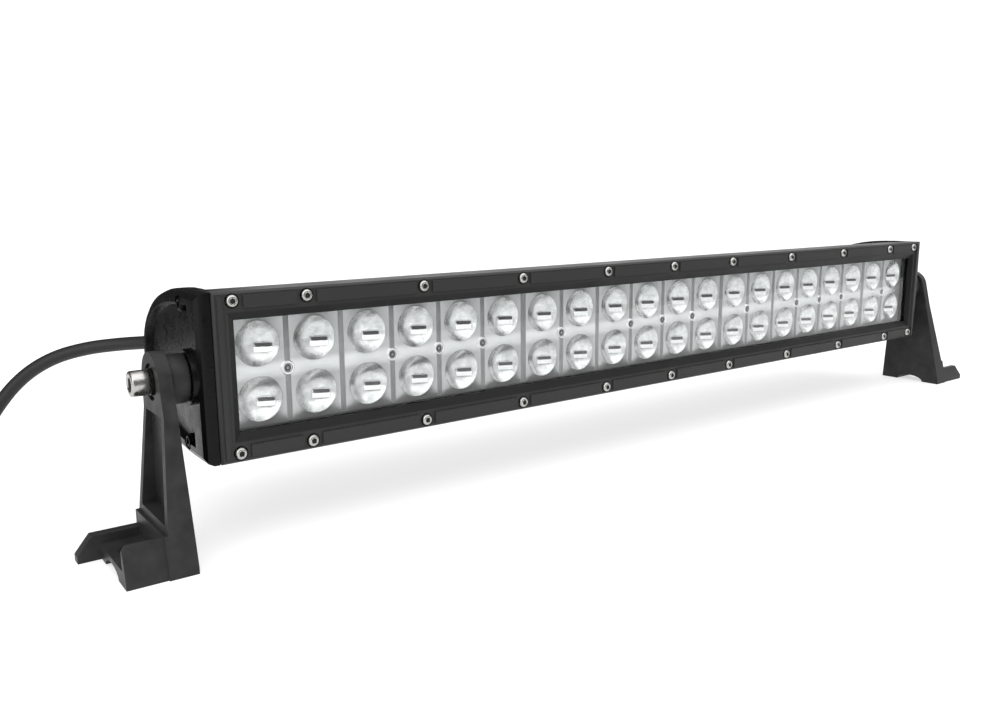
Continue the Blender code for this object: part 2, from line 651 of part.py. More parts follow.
def make_pivot(side):
    """Spacer, washers and socket head bolt of one pivot, out from the cap's boss."""
    label = "left" if side < 0 else "right"

    def part(name, profile, look, closed=False, hexagonal=(), count=28):
        bm = bmesh.new()
        placed = [(r * MM, side * x * MM) for r, x in profile]
        add_turned(bm, placed, "X", count=count, closed=closed, hexagonal=hexagonal)
        make_object(f"{name}_{label}", bm, look, (0.0, PIVOT_Y, 0.0))

    steel = ((0.74, 0.73, 0.70), 0.25, 1.0)
    spacer = ((3.4, 270.3), (10.2, 270.3), (10.2, 277.7), (3.4, 277.7))
    part("pivot_spacer", spacer, ((0.02, 0.02, 0.02), 0.6, 0.0), closed=True)
    flat = ((3.3, 281.5), (6.8, 281.5), (6.8, 282.5), (3.3, 282.5))
    part("flat_washer", flat, steel, closed=True)
    spring = ((3.3, 282.8), (5.4, 282.8), (5.4, 284.0), (3.3, 284.0))
    part("spring_washer", spring, steel, closed=True)
    bolt = (
        (3.0, 261.0), (3.0, 284.3), (5.2, 284.3), (5.2, 290.8), (4.7, 291.3), (2.6, 291.3), (2.5, 287.8)
    )
    part("pivot_bolt", bolt, steel, hexagonal=(5, 6), count=24)


def make_gland():
    wall = (TUNNEL_BACK + TUNNEL_WALL) / MM
    x, z = GLAND_X, 0.0
    plastic = ((0.02, 0.02, 0.022), 0.5, 0.0)
    bm = bmesh.new()
    profile = (
        (5.4, wall - 4.5), (5.4, wall + 0.3), (9.0, wall + 0.3), (9.0, wall + 5.0),
        (7.4, wall + 5.0), (7.4, wall + 6.0),
    )
    add_turned(bm, [(r * MM, y * MM) for r, y in profile], "Y", count=24, hexagonal=(2, 3))
    make_object("gland_body", bm, plastic, (x, 0, z))
    bm = bmesh.new()
    start = wall + 6.3
    profile = ((8.6, start), (8.6, start + 5.5), (7.6, start + 7.5), (6.6, start + 9.0))
    add_turned(bm, [(r * MM, y * MM) for r, y in profile], "Y", count=24, hexagonal=(0, 1))
    make_object("gland_nut", bm, plastic, (x, 0, z))
    bm = bmesh.new()
    start = start * MM + 9.3 * MM
    steps = 6
    sleeve = []
    for i in range(steps + 1):
        share = i / steps
        sleeve.append((5.9 * MM - 1.7 * MM * share, start + STRAIN_RELIEF_LENGTH * share))
    add_turned(bm, sleeve, "Y", count=14)
    make_object("strain_relief", bm, ((0.018, 0.018, 0.018), 0.55, 0.0), (x, 0, z))


def smooth_route(points, step):
    """Even points on a Catmull-Rom curve through the given points."""
    knots = [Vector(p) * MM for p in points]
    knots = [2 * knots[0] - knots[1]] + knots + [2 * knots[-1] - knots[-2]]
    fine = []
    for a, b, c, d in zip(knots, knots[1:], knots[2:], knots[3:]):
        for i in range(12):
            t = i / 12
            fine.append(0.5 * (2 * b + (c - a) * t + (2 * a - 5 * b + 4 * c - d) * t * t
                               + (3 * b - a - 3 * c + d) * t ** 3))
    fine.append(knots[-2])
    total = sum((b - a).length for a, b in zip(fine, fine[1:]))
    count = ceil(total / step)
    wanted, walked, even = 0.0, 0.0, [fine[0]]
    for a, b in zip(fine, fine[1:]):
        length = (b - a).length
        while wanted + total / count <= walked + length and len(even) < count:
            wanted += total / count
            even.append(a.lerp(b, (wanted - walked) / length))
        walked += length
    even.append(fine[-1])
    return even


def make_tube(name, points, radius, look):
    curve = bpy.data.curves.new(name, "CURVE")
    curve.dimensions = "3D"
    curve.bevel_depth = radius
    curve.bevel_resolution = 3
    curve.use_fill_caps = True
    spline = curve.splines.new("POLY")
    spline.points.add(len(points) - 1)
    for spot, place in zip(spline.points, points):
        spot.co = (*place, 1.0)
    obj = bpy.data.objects.new(name, curve)
    bpy.context.scene.collection.objects.link(obj)
    obj.parent = bpy.data.objects["bar_frame"]
    curve.materials.append(make_material(name, *look))


def make_cord():
    rubber = ((0.02, 0.02, 0.02), 0.55, 0.0)
    make_tube("power_cord", smooth_route(CORD_ROUTE, CORD_STEP), CORD_RADIUS, rubber)
    lead = (
        (GLAND_X / MM, 37.0, 0.0), (GLAND_X / MM + 1.5, 34.8, 0.0), (GLAND_X / MM + 8, 33.0, 0.0),
        (GLAND_X / MM + 18, 32.2, 0.0), (GLAND_X / MM + 30, 32.0, 0.0), (-190.3, 31.9, 0.0),
    )
    make_tube("supply_lead", smooth_route(lead, 5 * MM), 1.6 * MM, rubber)

    width, length, height = CONNECTOR_SIZE
    tip, before = Vector(CORD_ROUTE[-1]) * MM, Vector(CORD_ROUTE[-2]) * MM
    heading = tip - before
    heading.z = 0.0
    heading.normalize()
    bm = bmesh.new()
    boot = 8.0 * MM
    rings = []
    for along, wide, high in (
        (0.3 * MM, 4.4 * MM, 4.4 * MM), (boot, 5.2 * MM, 4.8 * MM), (boot, width / 2, height / 2),
        (length - 1.5 * MM, width / 2, height / 2), (length, width / 2 - 1 * MM, height / 2 - 1 * MM),
    ):
        ring = []
        for i in range(16):
            angle = 2 * pi * (i + 0.5) / 16
            squarish = 1 / max(abs(cos(angle)), abs(sin(angle))) ** 0.7
            reach = min(squarish, 1.22)
            x = max(-1.0, min(1.0, reach * cos(angle))) * wide
            z = max(-1.0, min(1.0, reach * sin(angle))) * high
            ring.append(bm.verts.new((x, along, z)))
        rings.append(ring)
    join_rings(bm, rings, closed=False)
    connector = make_object("connector", bm, ((0.02, 0.02, 0.022), 0.45, 0.0), tip)
    connector.rotation_euler = (0.0, 0.0, heading.to_2d().angle_signed(Vector((0.0, 1.0))))


def main():
    clear_scene()
    bar_frame = bpy.data.objects.new("bar_frame", None)
    bpy.context.scene.collection.objects.link(bar_frame)
    bar_frame.location = (0.0, FACE_Y, PIVOT_TO_FLOOR)
    make_housing()
    make_bezel()
    make_bezel_screws()
    make_lens_and_gasket()
    make_reflectors()
    make_boards()
    make_vent()
    for side in (-1, 1):
        make_cap(side)
        make_pivot(side)
        make_bracket(side)
    make_gland()
    make_cord()


main()
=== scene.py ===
"""Looks of the double-row LED light bar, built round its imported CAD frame.

Units are metres, written as millimetres times MM. Pieces take their places from
the boxes of the CAD nodes they stand for, and the cord's route is measured from
the middle of the bar's front face.
"""

from math import atan2, cos, pi, radians, sin

import bmesh
import bpy
from mathutils import Matrix, Vector


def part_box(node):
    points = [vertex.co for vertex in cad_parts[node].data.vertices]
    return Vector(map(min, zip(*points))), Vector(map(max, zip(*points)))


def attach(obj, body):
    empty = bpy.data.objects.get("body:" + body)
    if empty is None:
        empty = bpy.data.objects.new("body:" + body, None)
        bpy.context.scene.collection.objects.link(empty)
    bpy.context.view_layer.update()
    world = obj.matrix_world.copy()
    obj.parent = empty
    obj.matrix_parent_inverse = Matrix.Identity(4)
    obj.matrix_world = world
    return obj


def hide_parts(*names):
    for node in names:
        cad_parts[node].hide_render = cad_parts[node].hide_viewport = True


MM = 0.001

# Optics: a shallow round bowl in each cell, with its emitter slot in the right-hand wall
CELL_GAP = 0.15 * MM
LED_PITCH = 25.4 * MM
LED_ROW_Z = 11.7 * MM
MODULE_COLUMNS = (6, 6, 6, 2)
BOWL_RADIUS = 9.5 * MM
BOWL_DEPTH = 4.9 * MM
BOWL_RIM = 0.5 * MM
BOWL_SINK = 0.1 * MM
GROOVE_HALF_WIDTH = 0.55 * MM
GROOVE_DEPTH = 1.3 * MM
BOWL_SEGMENTS = 48
BOWL_RINGS = 11
SLOT_X = 4.0 * MM
SLOT_DROP = 1.2 * MM
SLOT_HALF_LENGTH = 3.7 * MM
SLOT_HALF_HEIGHT = 0.80 * MM
SLOT_LIP = 0.30 * MM
SLOT_STEPS = 32
SLOT_CORNER_POWER = 2.0 / 6.0
SLOT_SHADE_FORWARD = 0.65 * MM
LEDGE_HEIGHT = 2.0 * MM
REFLECTOR_SCREW_COLUMNS = (1, 3, 4, 5, 7, 9, 10, 11, 13, 15, 16, 17, 19)

# Seams between cells: half widths, wider where two modules meet
SEAM_HALF_WIDTH = 1.3 * MM
MODULE_SEAM_HALF_WIDTH = 1.7 * MM
MODULE_SEAMS = (6, 12, 18)

# Screws and pivots
BEZEL_SCREW_COUNT = 22
BEZEL_HEAD_HEIGHT = 2.0 * MM
CAP_HEAD_HEIGHT = 2.2 * MM
SCREW_SHANK_RADIUS = 1.45 * MM
BOLT_HEAD_HEIGHT = 7.0 * MM
BOLT_SHANK_RADIUS = 3.0 * MM
WASHER_BORE = 3.3 * MM
SPACER_BORE = 3.4 * MM
TURNED_STEPS = 48

# The face's middle, from which the cord's route is measured in millimetres
FACE_MIDDLE = Vector((0.0, -0.0355, 0.0720))

# Cord: straight out of the strain relief, down to the floor and along it in a loose loop
CORD_DIAMETER = 7.0 * MM
CORD_ROUTE = (
    (-236.0, 91.0, 0.0), (-236.2, 102.0, -0.3), (-238.5, 114.0, -1.2), (-243.5, 126.5, -2.4),
    (-252.0, 138.5, -3.6), (-263.0, 149.0, -4.8), (-276.0, 157.5, -6.6), (-289.0, 164.5, -10.2),
    (-300.0, 169.5, -16.0), (-309.5, 173.0, -24.0), (-318.0, 174.5, -34.0),
    (-326.0, 173.0, -45.0), (-333.0, 168.5, -55.2), (-339.0, 160.5, -63.0),
    (-343.0, 150.0, -67.2), (-345.5, 139.0, -68.3), (-346.5, 126.0, -68.4),
    (-347.5, 112.0, -68.4), (-352.0, 99.0, -68.4), (-361.5, 88.5, -68.4), (-375.0, 83.0, -68.4),
    (-390.0, 84.5, -68.4), (-402.0, 93.0, -68.4), (-409.0, 106.0, -68.4), (-411.5, 121.0, -68.4),
    (-411.5, 136.0, -68.3), (-410.5, 151.0, -67.6), (-409.0, 165.0, -66.2),
)
CORD_POINTS = [FACE_MIDDLE + Vector(point) * MM for point in CORD_ROUTE]

# Camera, in world metres and degrees
CAMERA_PLACE = (-0.3766, -0.3773, 0.1444)
CAMERA_YAW = 36.57
CAMERA_PITCH = 10.48
CAMERA_ROLL = -0.4
CAMERA_LENS = 31.93


# ---------------------------------------------------------------- mesh helpers

def new_piece(name, bm, material, body="lamp", smooth=40.0):
    """Turn a bmesh into a piece that rides on a body."""
    bmesh.ops.recalc_face_normals(bm, faces=bm.faces[:])
    mesh = bpy.data.meshes.new(name)
    bm.to_mesh(mesh)
    bm.free()
    mesh.shade_smooth()
    mesh.set_sharp_from_angle(angle=radians(smooth))
    obj = bpy.data.objects.new(name, mesh)
    bpy.context.scene.collection.objects.link(obj)
    obj.data.materials.append(material)
    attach(obj, body)
    return obj


def shading_group():
    """Geometry nodes that shade a mesh smooth, apart from its sharp edges."""
    group = bpy.data.node_groups.new("smooth_shading", "GeometryNodeTree")
    group.interface.new_socket("Geometry", in_out="INPUT", socket_type="NodeSocketGeometry")
    group.interface.new_socket("Geometry", in_out="OUTPUT", socket_type="NodeSocketGeometry")
    start = group.nodes.new("NodeGroupInput")
    stop = group.nodes.new("NodeGroupOutput")
    faces = group.nodes.new("GeometryNodeSetShadeSmooth")
    edges = group.nodes.new("GeometryNodeSetShadeSmooth")
    edges.domain = "EDGE"
    edges.inputs["Shade Smooth"].default_value = False
    bend = group.nodes.new("GeometryNodeInputMeshEdgeAngle")
    sharp = group.nodes.new("FunctionNodeCompare")
    sharp.operation = "GREATER_THAN"
    sharp.inputs["B"].default_value = radians(28.0)
    group.links.new(start.outputs["Geometry"], faces.inputs["Geometry"])
    group.links.new(faces.outputs["Geometry"], edges.inputs["Geometry"])
    group.links.new(bend.outputs["Unsigned Angle"], sharp.inputs["A"])
    group.links.new(sharp.outputs["Result"], edges.inputs["Selection"])
    group.links.new(edges.outputs["Geometry"], stop.inputs["Geometry"])
    return group


def soften(obj, width, segments=2, angle=30.0):
    """Round the edges of a piece or a CAD node with modifiers."""
    weld = obj.modifiers.new("weld", "WELD")
    weld.merge_threshold = 0.00001
    flat = obj.modifiers.new("flatten", "DECIMATE")
    flat.decimate_type = "DISSOLVE"
    flat.angle_limit = radians(0.6)
    shade = obj.modifiers.new("shade", "NODES")
    shade.node_group = smooth_shading
    bevel = obj.modifiers.new("bevel", "BEVEL")
    bevel.width = width
    bevel.segments = segments
    bevel.limit_method = "ANGLE"
    bevel.angle_limit = radians(angle)
    bevel.use_clamp_overlap = True
    bevel.loop_slide = False
    bevel.harden_normals = True


def ring_points(count, turn=0.0):
    return [2 * pi * (i + turn) / count for i in range(count)]


def axis_point(axis, centre, u, v, height):
    """A point at (u, v) across an axis letter and height along it."""
    offset = {"X": (height, u, v), "Y": (u, height, v), "Z": (u, v, height)}[axis]
    return Vector(centre) + Vector(offset)


def add_lathe(bm, profile, axis, centre, count=40, hexagonal=(), cap_start=True, cap_end=True):
    """Turn (radius, height) pairs. Rings in hexagonal get six flats. Zero radius closes in a point."""
    rings = []
    for index, (radius, height) in enumerate(profile):
        if radius == 0.0:
            rings.append([bm.verts.new(axis_point(axis, centre, 0.0, 0.0, height))])
            continue
        ring = []
        for angle in ring_points(count):
            reach = radius
            if index in hexagonal:
                reach = radius / cos((angle + pi / 6) % (pi / 3) - pi / 6)
            place = axis_point(axis, centre, reach * cos(angle), reach * sin(angle), height)
            ring.append(bm.verts.new(place))
        rings.append(ring)
    for a, b in zip(rings, rings[1:]):
        for i in range(count):
            j = (i + 1) % count
            if len(a) == 1:
                bm.faces.new((a[0], b[j], b[i]))
            elif len(b) == 1:
                bm.faces.new((a[i], a[j], b[0]))
            else:
                bm.faces.new((a[i], a[j], b[j], b[i]))
    if cap_start and len(rings[0]) > 1:
        bm.faces.new(rings[0])
    if cap_end and len(rings[-1]) > 1:
        bm.faces.new(rings[-1])
    return rings


def close_ring(bm, rings):
    """Join the last ring of a lathe to its first."""
    count = len(rings[0])
    for i in range(count):
        j = (i + 1) % count
        bm.faces.new((rings[-1][i], rings[-1][j], rings[0][j], rings[0][i]))


def node_box(node):
    low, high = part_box(node)
    return Vector(low), Vector(high)


def node_middle(node):
    low, high = node_box(node)
    return (low + high) / 2


# ------------------------------------------------------------------- materials

def start_material(name, colour, roughness, metallic=0.0):
    material = bpy.data.materials.new(name)
    material.use_nodes = True
    shader = material.node_tree.nodes["Principled BSDF"]
    shader.inputs["Base Color"].default_value = (*colour, 1.0)
    shader.inputs["Roughness"].default_value = roughness
    shader.inputs["Metallic"].default_value = metallic
    material.diffuse_color = (*colour, 1.0)
    return material, material.node_tree, shader


def noise(tree, scale, detail=3.0, stretch=(1.0, 1.0, 1.0)):
    place = tree.nodes.new("ShaderNodeTexCoord")
    mapping = tree.nodes.new("ShaderNodeMapping")
    mapping.inputs["Scale"].default_value = stretch
    texture = tree.nodes.new("ShaderNodeTexNoise")
    texture.inputs["Scale"].default_value = scale
    texture.inputs["Detail"].default_value = detail
    tree.links.new(place.outputs["Object"], mapping.inputs["Vector"])
    tree.links.new(mapping.outputs["Vector"], texture.inputs["Vector"])
    return texture.outputs["Fac"]


def spread(tree, value, low, high, start=0.3, stop=0.7):
    """Map a noise value to the range low to high."""
    node = tree.nodes.new("ShaderNodeMapRange")
    node.inputs["From Min"].default_value = start
    node.inputs["From Max"].default_value = stop
    node.inputs["To Min"].default_value = low
    node.inputs["To Max"].default_value = high
    tree.links.new(value, node.inputs["Value"])
    return node.outputs["Result"]


def blend_colours(tree, factor, first, second):
    node = tree.nodes.new("ShaderNodeMix")
    node.data_type = "RGBA"
    node.inputs["A"].default_value = (*first, 1.0)
    node.inputs["B"].default_value = (*second, 1.0)
    tree.links.new(factor, node.inputs["Factor"])
    return node.outputs["Result"]


def add_bump(tree, shader, height, strength, distance):
    bump = tree.nodes.new("ShaderNodeBump")
    bump.inputs["Strength"].default_value = strength
    bump.inputs["Distance"].default_value = distance
    tree.links.new(height, bump.inputs["Height"])
    tree.links.new(bump.outputs["Normal"], shader.inputs["Normal"])
    return bump


def powder_coat(name, dark_tone, light_tone, grain, shine):
    """Satin black powder coat: fine orange peel, with slightly uneven tone and gloss."""
    material, tree, shader = start_material(name, light_tone, shine)
    shader.inputs["Specular IOR Level"].default_value = 0.25
    peel = noise(tree, 1100.0 * grain, 2.0)
    cloud = noise(tree, 45.0, 4.0)
    tree.links.new(spread(tree, cloud, shine - 0.06, shine + 0.07), shader.inputs["Roughness"])
    tone = blend_colours(tree, spread(tree, cloud, 0.0, 1.0), dark_tone, light_tone)
    tree.links.new(tone, shader.inputs["Base Color"])
    add_bump(tree, shader, peel, 0.35, 0.00004)
    return material


def bezel_powder():
    """Satin coat on the face, with a near-black base colour on the step down to the lens: painted shade of
    that recess.
    """
    material, tree, shader = start_material("black_bezel_coat_and_painted_shade", (0.022, 0.023, 0.022), 0.44)
    shader.inputs["Specular IOR Level"].default_value = 0.25
    place = tree.nodes.new("ShaderNodeTexCoord")
    parts = tree.nodes.new("ShaderNodeSeparateXYZ")
    tree.links.new(place.outputs["Object"], parts.inputs["Vector"])
    low, high = node_box("lens")
    edges = (
        ("X", 0.0, high.x - 1.0 * MM),
        ("Z", (low.z + high.z) / 2, (high.z - low.z) / 2 - 0.2 * MM),
    )
    reach = []
    for letter, middle, edge in edges:
        shift = tree.nodes.new("ShaderNodeMath")
        shift.operation = "SUBTRACT"
        shift.inputs[1].default_value = middle
        tree.links.new(parts.outputs[letter], shift.inputs[0])
        size = tree.nodes.new("ShaderNodeMath")
        size.operation = "ABSOLUTE"
        tree.links.new(shift.outputs["Value"], size.inputs[0])
        past = tree.nodes.new("ShaderNodeMath")
        past.operation = "SUBTRACT"
        past.inputs[1].default_value = edge
        tree.links.new(size.outputs["Value"], past.inputs[0])
        reach.append(past.outputs["Value"])
    outside = tree.nodes.new("ShaderNodeMath")
    outside.operation = "MAXIMUM"
    tree.links.new(reach[0], outside.inputs[0])
    tree.links.new(reach[1], outside.inputs[1])
    # Mask: 1 on the face, 0 on the step down to the lens, where the near-black tone is painted shade
    face = spread(tree, outside.outputs["Value"], 0.0, 1.0, 0.0, 0.0006)
    tone = blend_colours(tree, face, (0.0035, 0.0035, 0.0038), (0.024, 0.025, 0.024))
    tree.links.new(tone, shader.inputs["Base Color"])
    peel = noise(tree, 1200.0, 2.0)
    tree.links.new(spread(tree, noise(tree, 45.0, 4.0), 0.40, 0.52), shader.inputs["Roughness"])
    add_bump(tree, shader, peel, 0.35, 0.00004)
    return material


def cast_black():
    """Black coat over sand-cast brackets, with coarse relief."""
    material, tree, shader = start_material("black_cast", (0.026, 0.0265, 0.026), 0.48)
    shader.inputs["Specular IOR Level"].default_value = 0.14
    fine = noise(tree, 900.0, 3.0)
    coarse = noise(tree, 130.0, 3.0)
    both = tree.nodes.new("ShaderNodeMath")
    both.operation = "ADD"
    tree.links.new(fine, both.inputs[0])
    tree.links.new(coarse, both.inputs[1])
    tone = blend_colours(tree, spread(tree, coarse, 0.0, 1.0), (0.020, 0.0205, 0.020), (0.032, 0.033, 0.032))
    tree.links.new(tone, shader.inputs["Base Color"])
    tree.links.new(spread(tree, coarse, 0.36, 0.50), shader.inputs["Roughness"])
    add_bump(tree, shader, both.outputs["Value"], 0.45, 0.00008)
    return material


def cap_black():
    """Glossier black on the die-cast end caps, with an uneven skin that sparkles."""
    material, tree, shader = start_material("black_cap", (0.0035, 0.0035, 0.0037), 0.26)
    shader.inputs["Specular IOR Level"].default_value = 0.14
    fine = noise(tree, 800.0, 3.0)
    coarse = noise(tree, 150.0, 3.0)
    both = tree.nodes.new("ShaderNodeMath")
    both.operation = "ADD"
    tree.links.new(fine, both.inputs[0])
    tree.links.new(coarse, both.inputs[1])
    tree.links.new(spread(tree, coarse, 0.20, 0.36), shader.inputs["Roughness"])
    add_bump(tree, shader, both.outputs["Value"], 0.5, 0.00010)
    return material


def stainless():
    """Turned stainless steel with fine scratches."""
    material, tree, shader = start_material("stainless", (0.46, 0.455, 0.44), 0.28, 1.0)
    scratches = noise(tree, 700.0, 4.0, (1.0, 0.15, 1.0))
    tree.links.new(spread(tree, scratches, 0.18, 0.34), shader.inputs["Roughness"])
    tone = blend_colours(tree, scratches, (0.42, 0.415, 0.40), (0.50, 0.495, 0.48))
    tree.links.new(tone, shader.inputs["Base Color"])
    add_bump(tree, shader, scratches, 0.03, 0.00001)
    return material


def dark_steel(name, colour, shine):
    """Black-oxide steel for washers and screws; the sockets' near-black discs are painted shade, in a
    material of their own.
    """
    material, tree, shader = start_material(name, colour, shine, 0.9)
    mottle = noise(tree, 380.0, 3.0)
    tree.links.new(spread(tree, mottle, shine - 0.08, shine + 0.10), shader.inputs["Roughness"])
    add_bump(tree, shader, mottle, 0.12, 0.00003)
    return material


def chrome():
    """Vacuum-metallised plastic: bright and satin, with cloudy patches and a faint ripple."""
    material, tree, shader = start_material("reflector_chrome", (0.66, 0.665, 0.66), 0.24, 1.0)
    patches = noise(tree, 210.0, 4.0)
    share = spread(tree, patches, 0.0, 1.0, 0.34, 0.66)
    tone = blend_colours(tree, share, (0.54, 0.545, 0.54), (0.78, 0.785, 0.78))
    tree.links.new(tone, shader.inputs["Base Color"])
    haze = noise(tree, 160.0, 3.0)
    tree.links.new(spread(tree, haze, 0.18, 0.32), shader.inputs["Roughness"])
    ripple = noise(tree, 420.0, 2.0)
    add_bump(tree, shader, ripple, 0.06, 0.00004)
    return material


def plate_with_painted_reflection():
    """Metallised plate between the bowls: duller and darker than the bowls, and lighter in a band between
    the rows; the darker tone and the lighter band are painted reflection.
    """
    material, tree, shader = start_material("plate_with_painted_reflection", (0.42, 0.425, 0.42), 0.34, 1.0)
    place = tree.nodes.new("ShaderNodeTexCoord")
    parts = tree.nodes.new("ShaderNodeSeparateXYZ")
    tree.links.new(place.outputs["Object"], parts.inputs["Vector"])
    shift = tree.nodes.new("ShaderNodeMath")
    shift.operation = "SUBTRACT"
    shift.inputs[1].default_value = node_middle("reflector_module_1").z
    tree.links.new(parts.outputs["Z"], shift.inputs[0])
    away = tree.nodes.new("ShaderNodeMath")
    away.operation = "ABSOLUTE"
    tree.links.new(shift.outputs["Value"], away.inputs[0])
    # Painted reflection: lighter base colour in the band between the two rows
    between = spread(tree, away.outputs["Value"], 1.0, 0.0, 0.0018, 0.0042)
    tone = blend_colours(tree, between, (0.48, 0.485, 0.48), (0.72, 0.725, 0.72))
    tree.links.new(tone, shader.inputs["Base Color"])
    haze = noise(tree, 160.0, 3.0)
    tree.links.new(spread(tree, haze, 0.28, 0.42), shader.inputs["Roughness"])
    return material


def clear_lens():
    material, tree, shader = start_material("clear_lens", (0.97, 0.985, 0.99), 0.02)
    shader.inputs["Transmission Weight"].default_value = 1.0
    shader.inputs["IOR"].default_value = 1.45
    dust = noise(tree, 60.0, 2.0)
    tree.links.new(spread(tree, dust, 0.0, 0.03), shader.inputs["Roughness"])
    return material


def rubber(name, colour, shine, grain):
    material, tree, shader = start_material(name, colour, shine)
    shader.inputs["Specular IOR Level"].default_value = 0.4
    speck = noise(tree, grain, 3.0)
    tree.links.new(spread(tree, speck, shine - 0.07, shine + 0.08), shader.inputs["Roughness"])
    add_bump(tree, shader, speck, 0.30, 0.00005)
    return material


def board(name, colour, trace_colour):
    """Solder mask with faint darker tracks."""
    material, tree, shader = start_material(name, colour, 0.38)
    tracks = noise(tree, 90.0, 1.0, (0.4, 1.0, 3.0))
    tone = blend_colours(tree, spread(tree, tracks, 0.0, 1.0, 0.48, 0.52), colour, trace_colour)
    tree.links.new(tone, shader.inputs["Base Color"])
    add_bump(tree, shader, tracks, 0.2, 0.00003)
    return material


def ledge_chrome_painted_highlight():
    """Polished ledge under each emitter, tilted to throw the light from above back out; its base colour,
    brighter than the bowls' chrome, is a painted highlight.
    """
    material, tree, shader = start_material("ledge_chrome_painted_highlight", (0.94, 0.94, 0.93), 0.22, 1.0)
    cloud = noise(tree, 300.0, 2.0)
    # Painted highlight: base colour brighter than the reflector chrome
    tone = blend_colours(tree, cloud, (0.90, 0.90, 0.89), (0.97, 0.97, 0.96))
    tree.links.new(tone, shader.inputs["Base Color"])
    tree.links.new(spread(tree, cloud, 0.18, 0.28), shader.inputs["Roughness"])
    return material


def seam_grey_painted_reflection():
    """Satin grey on the posts between cells: painted reflection of the darker surroundings that the flat
    strips between the bowls mirror.
    """
    material, tree, shader = start_material("seam_grey_painted_reflection", (0.32, 0.32, 0.32), 0.45)
    cloud = noise(tree, 60.0, 3.0)
    # Painted reflection: grey base colour standing in for the darker reflection on these strips
    tone = blend_colours(tree, spread(tree, cloud, 0.0, 1.0), (0.22, 0.22, 0.22), (0.36, 0.36, 0.36))
    tree.links.new(tone, shader.inputs["Base Color"])
    tree.links.new(spread(tree, cloud, 0.38, 0.52), shader.inputs["Roughness"])
    return material


def slot_painted_shade():
    """Near-black sheet inside each emitter slot: painted shade of the slot."""
    material, tree, shader = start_material("slot_painted_shade", (0.012, 0.012, 0.014), 0.35)
    cloud = noise(tree, 500.0, 2.0)
    tree.links.new(spread(tree, cloud, 0.28, 0.42), shader.inputs["Roughness"])
    return material


# --------------------------------------------------------------------- pieces

def add_bowl(bm, bowls, low, high, centre, front):
    """One cell: grooved sides and a flat plate in bm, and the round concave bowl in bowls."""
    quarter = BOWL_SEGMENTS // 4
    (x0, z0), (x1, z1) = low, high
    corners = ((x1, z0), (x1, z1), (x0, z1), (x0, z0))
    border = []
    for (ax, az), (bx, bz) in zip(corners, corners[1:] + corners[:1]):
        for i in range(quarter):
            t = i / quarter
            border.append((ax + (bx - ax) * t, az + (bz - az) * t))
    angles = [2 * pi * k / BOWL_SEGMENTS - pi / 4 for k in range(BOWL_SEGMENTS)]

    def circle(mesh, radius, y):
        places = [(centre[0] + radius * cos(a), y, centre[1] + radius * sin(a)) for a in angles]
        return [mesh.verts.new(place) for place in places]

    def join(mesh, rings):
        for first, second in zip(rings, rings[1:]):
            for i in range(BOWL_SEGMENTS):
                j = (i + 1) % BOWL_SEGMENTS
                mesh.faces.new((first[i], first[j], second[j], second[i]))

    rings = [[bm.verts.new((x, front + GROOVE_DEPTH, z)) for x, z in border]]
    inner = [(max(x0 + GROOVE_HALF_WIDTH, min(x1 - GROOVE_HALF_WIDTH, x)), z) for x, z in border]
    rings.append([bm.verts.new((x, front + GROOVE_DEPTH, z)) for x, z in inner])
    rings.append([bm.verts.new((x, front, z)) for x, z in inner])
    rings.append(circle(bm, BOWL_RADIUS + BOWL_RIM, front))
    rings.append(circle(bm, BOWL_RADIUS + BOWL_RIM * 0.5, front - 0.15 * MM))
    rings.append(circle(bm, BOWL_RADIUS, front + BOWL_SINK))
    join(bm, rings)
    rings = []
    for i in range(BOWL_RINGS):
        share = 1 - i / BOWL_RINGS
        rings.append(circle(bowls, BOWL_RADIUS * share, front + BOWL_SINK + BOWL_DEPTH * (1 - share ** 2)))
    join(bowls, rings)
    bottom = bowls.verts.new((centre[0], front + BOWL_SINK + BOWL_DEPTH, centre[1]))
    for i in range(BOWL_SEGMENTS):
        bowls.faces.new((rings[-1][i], rings[-1][(i + 1) % BOWL_SEGMENTS], bottom))


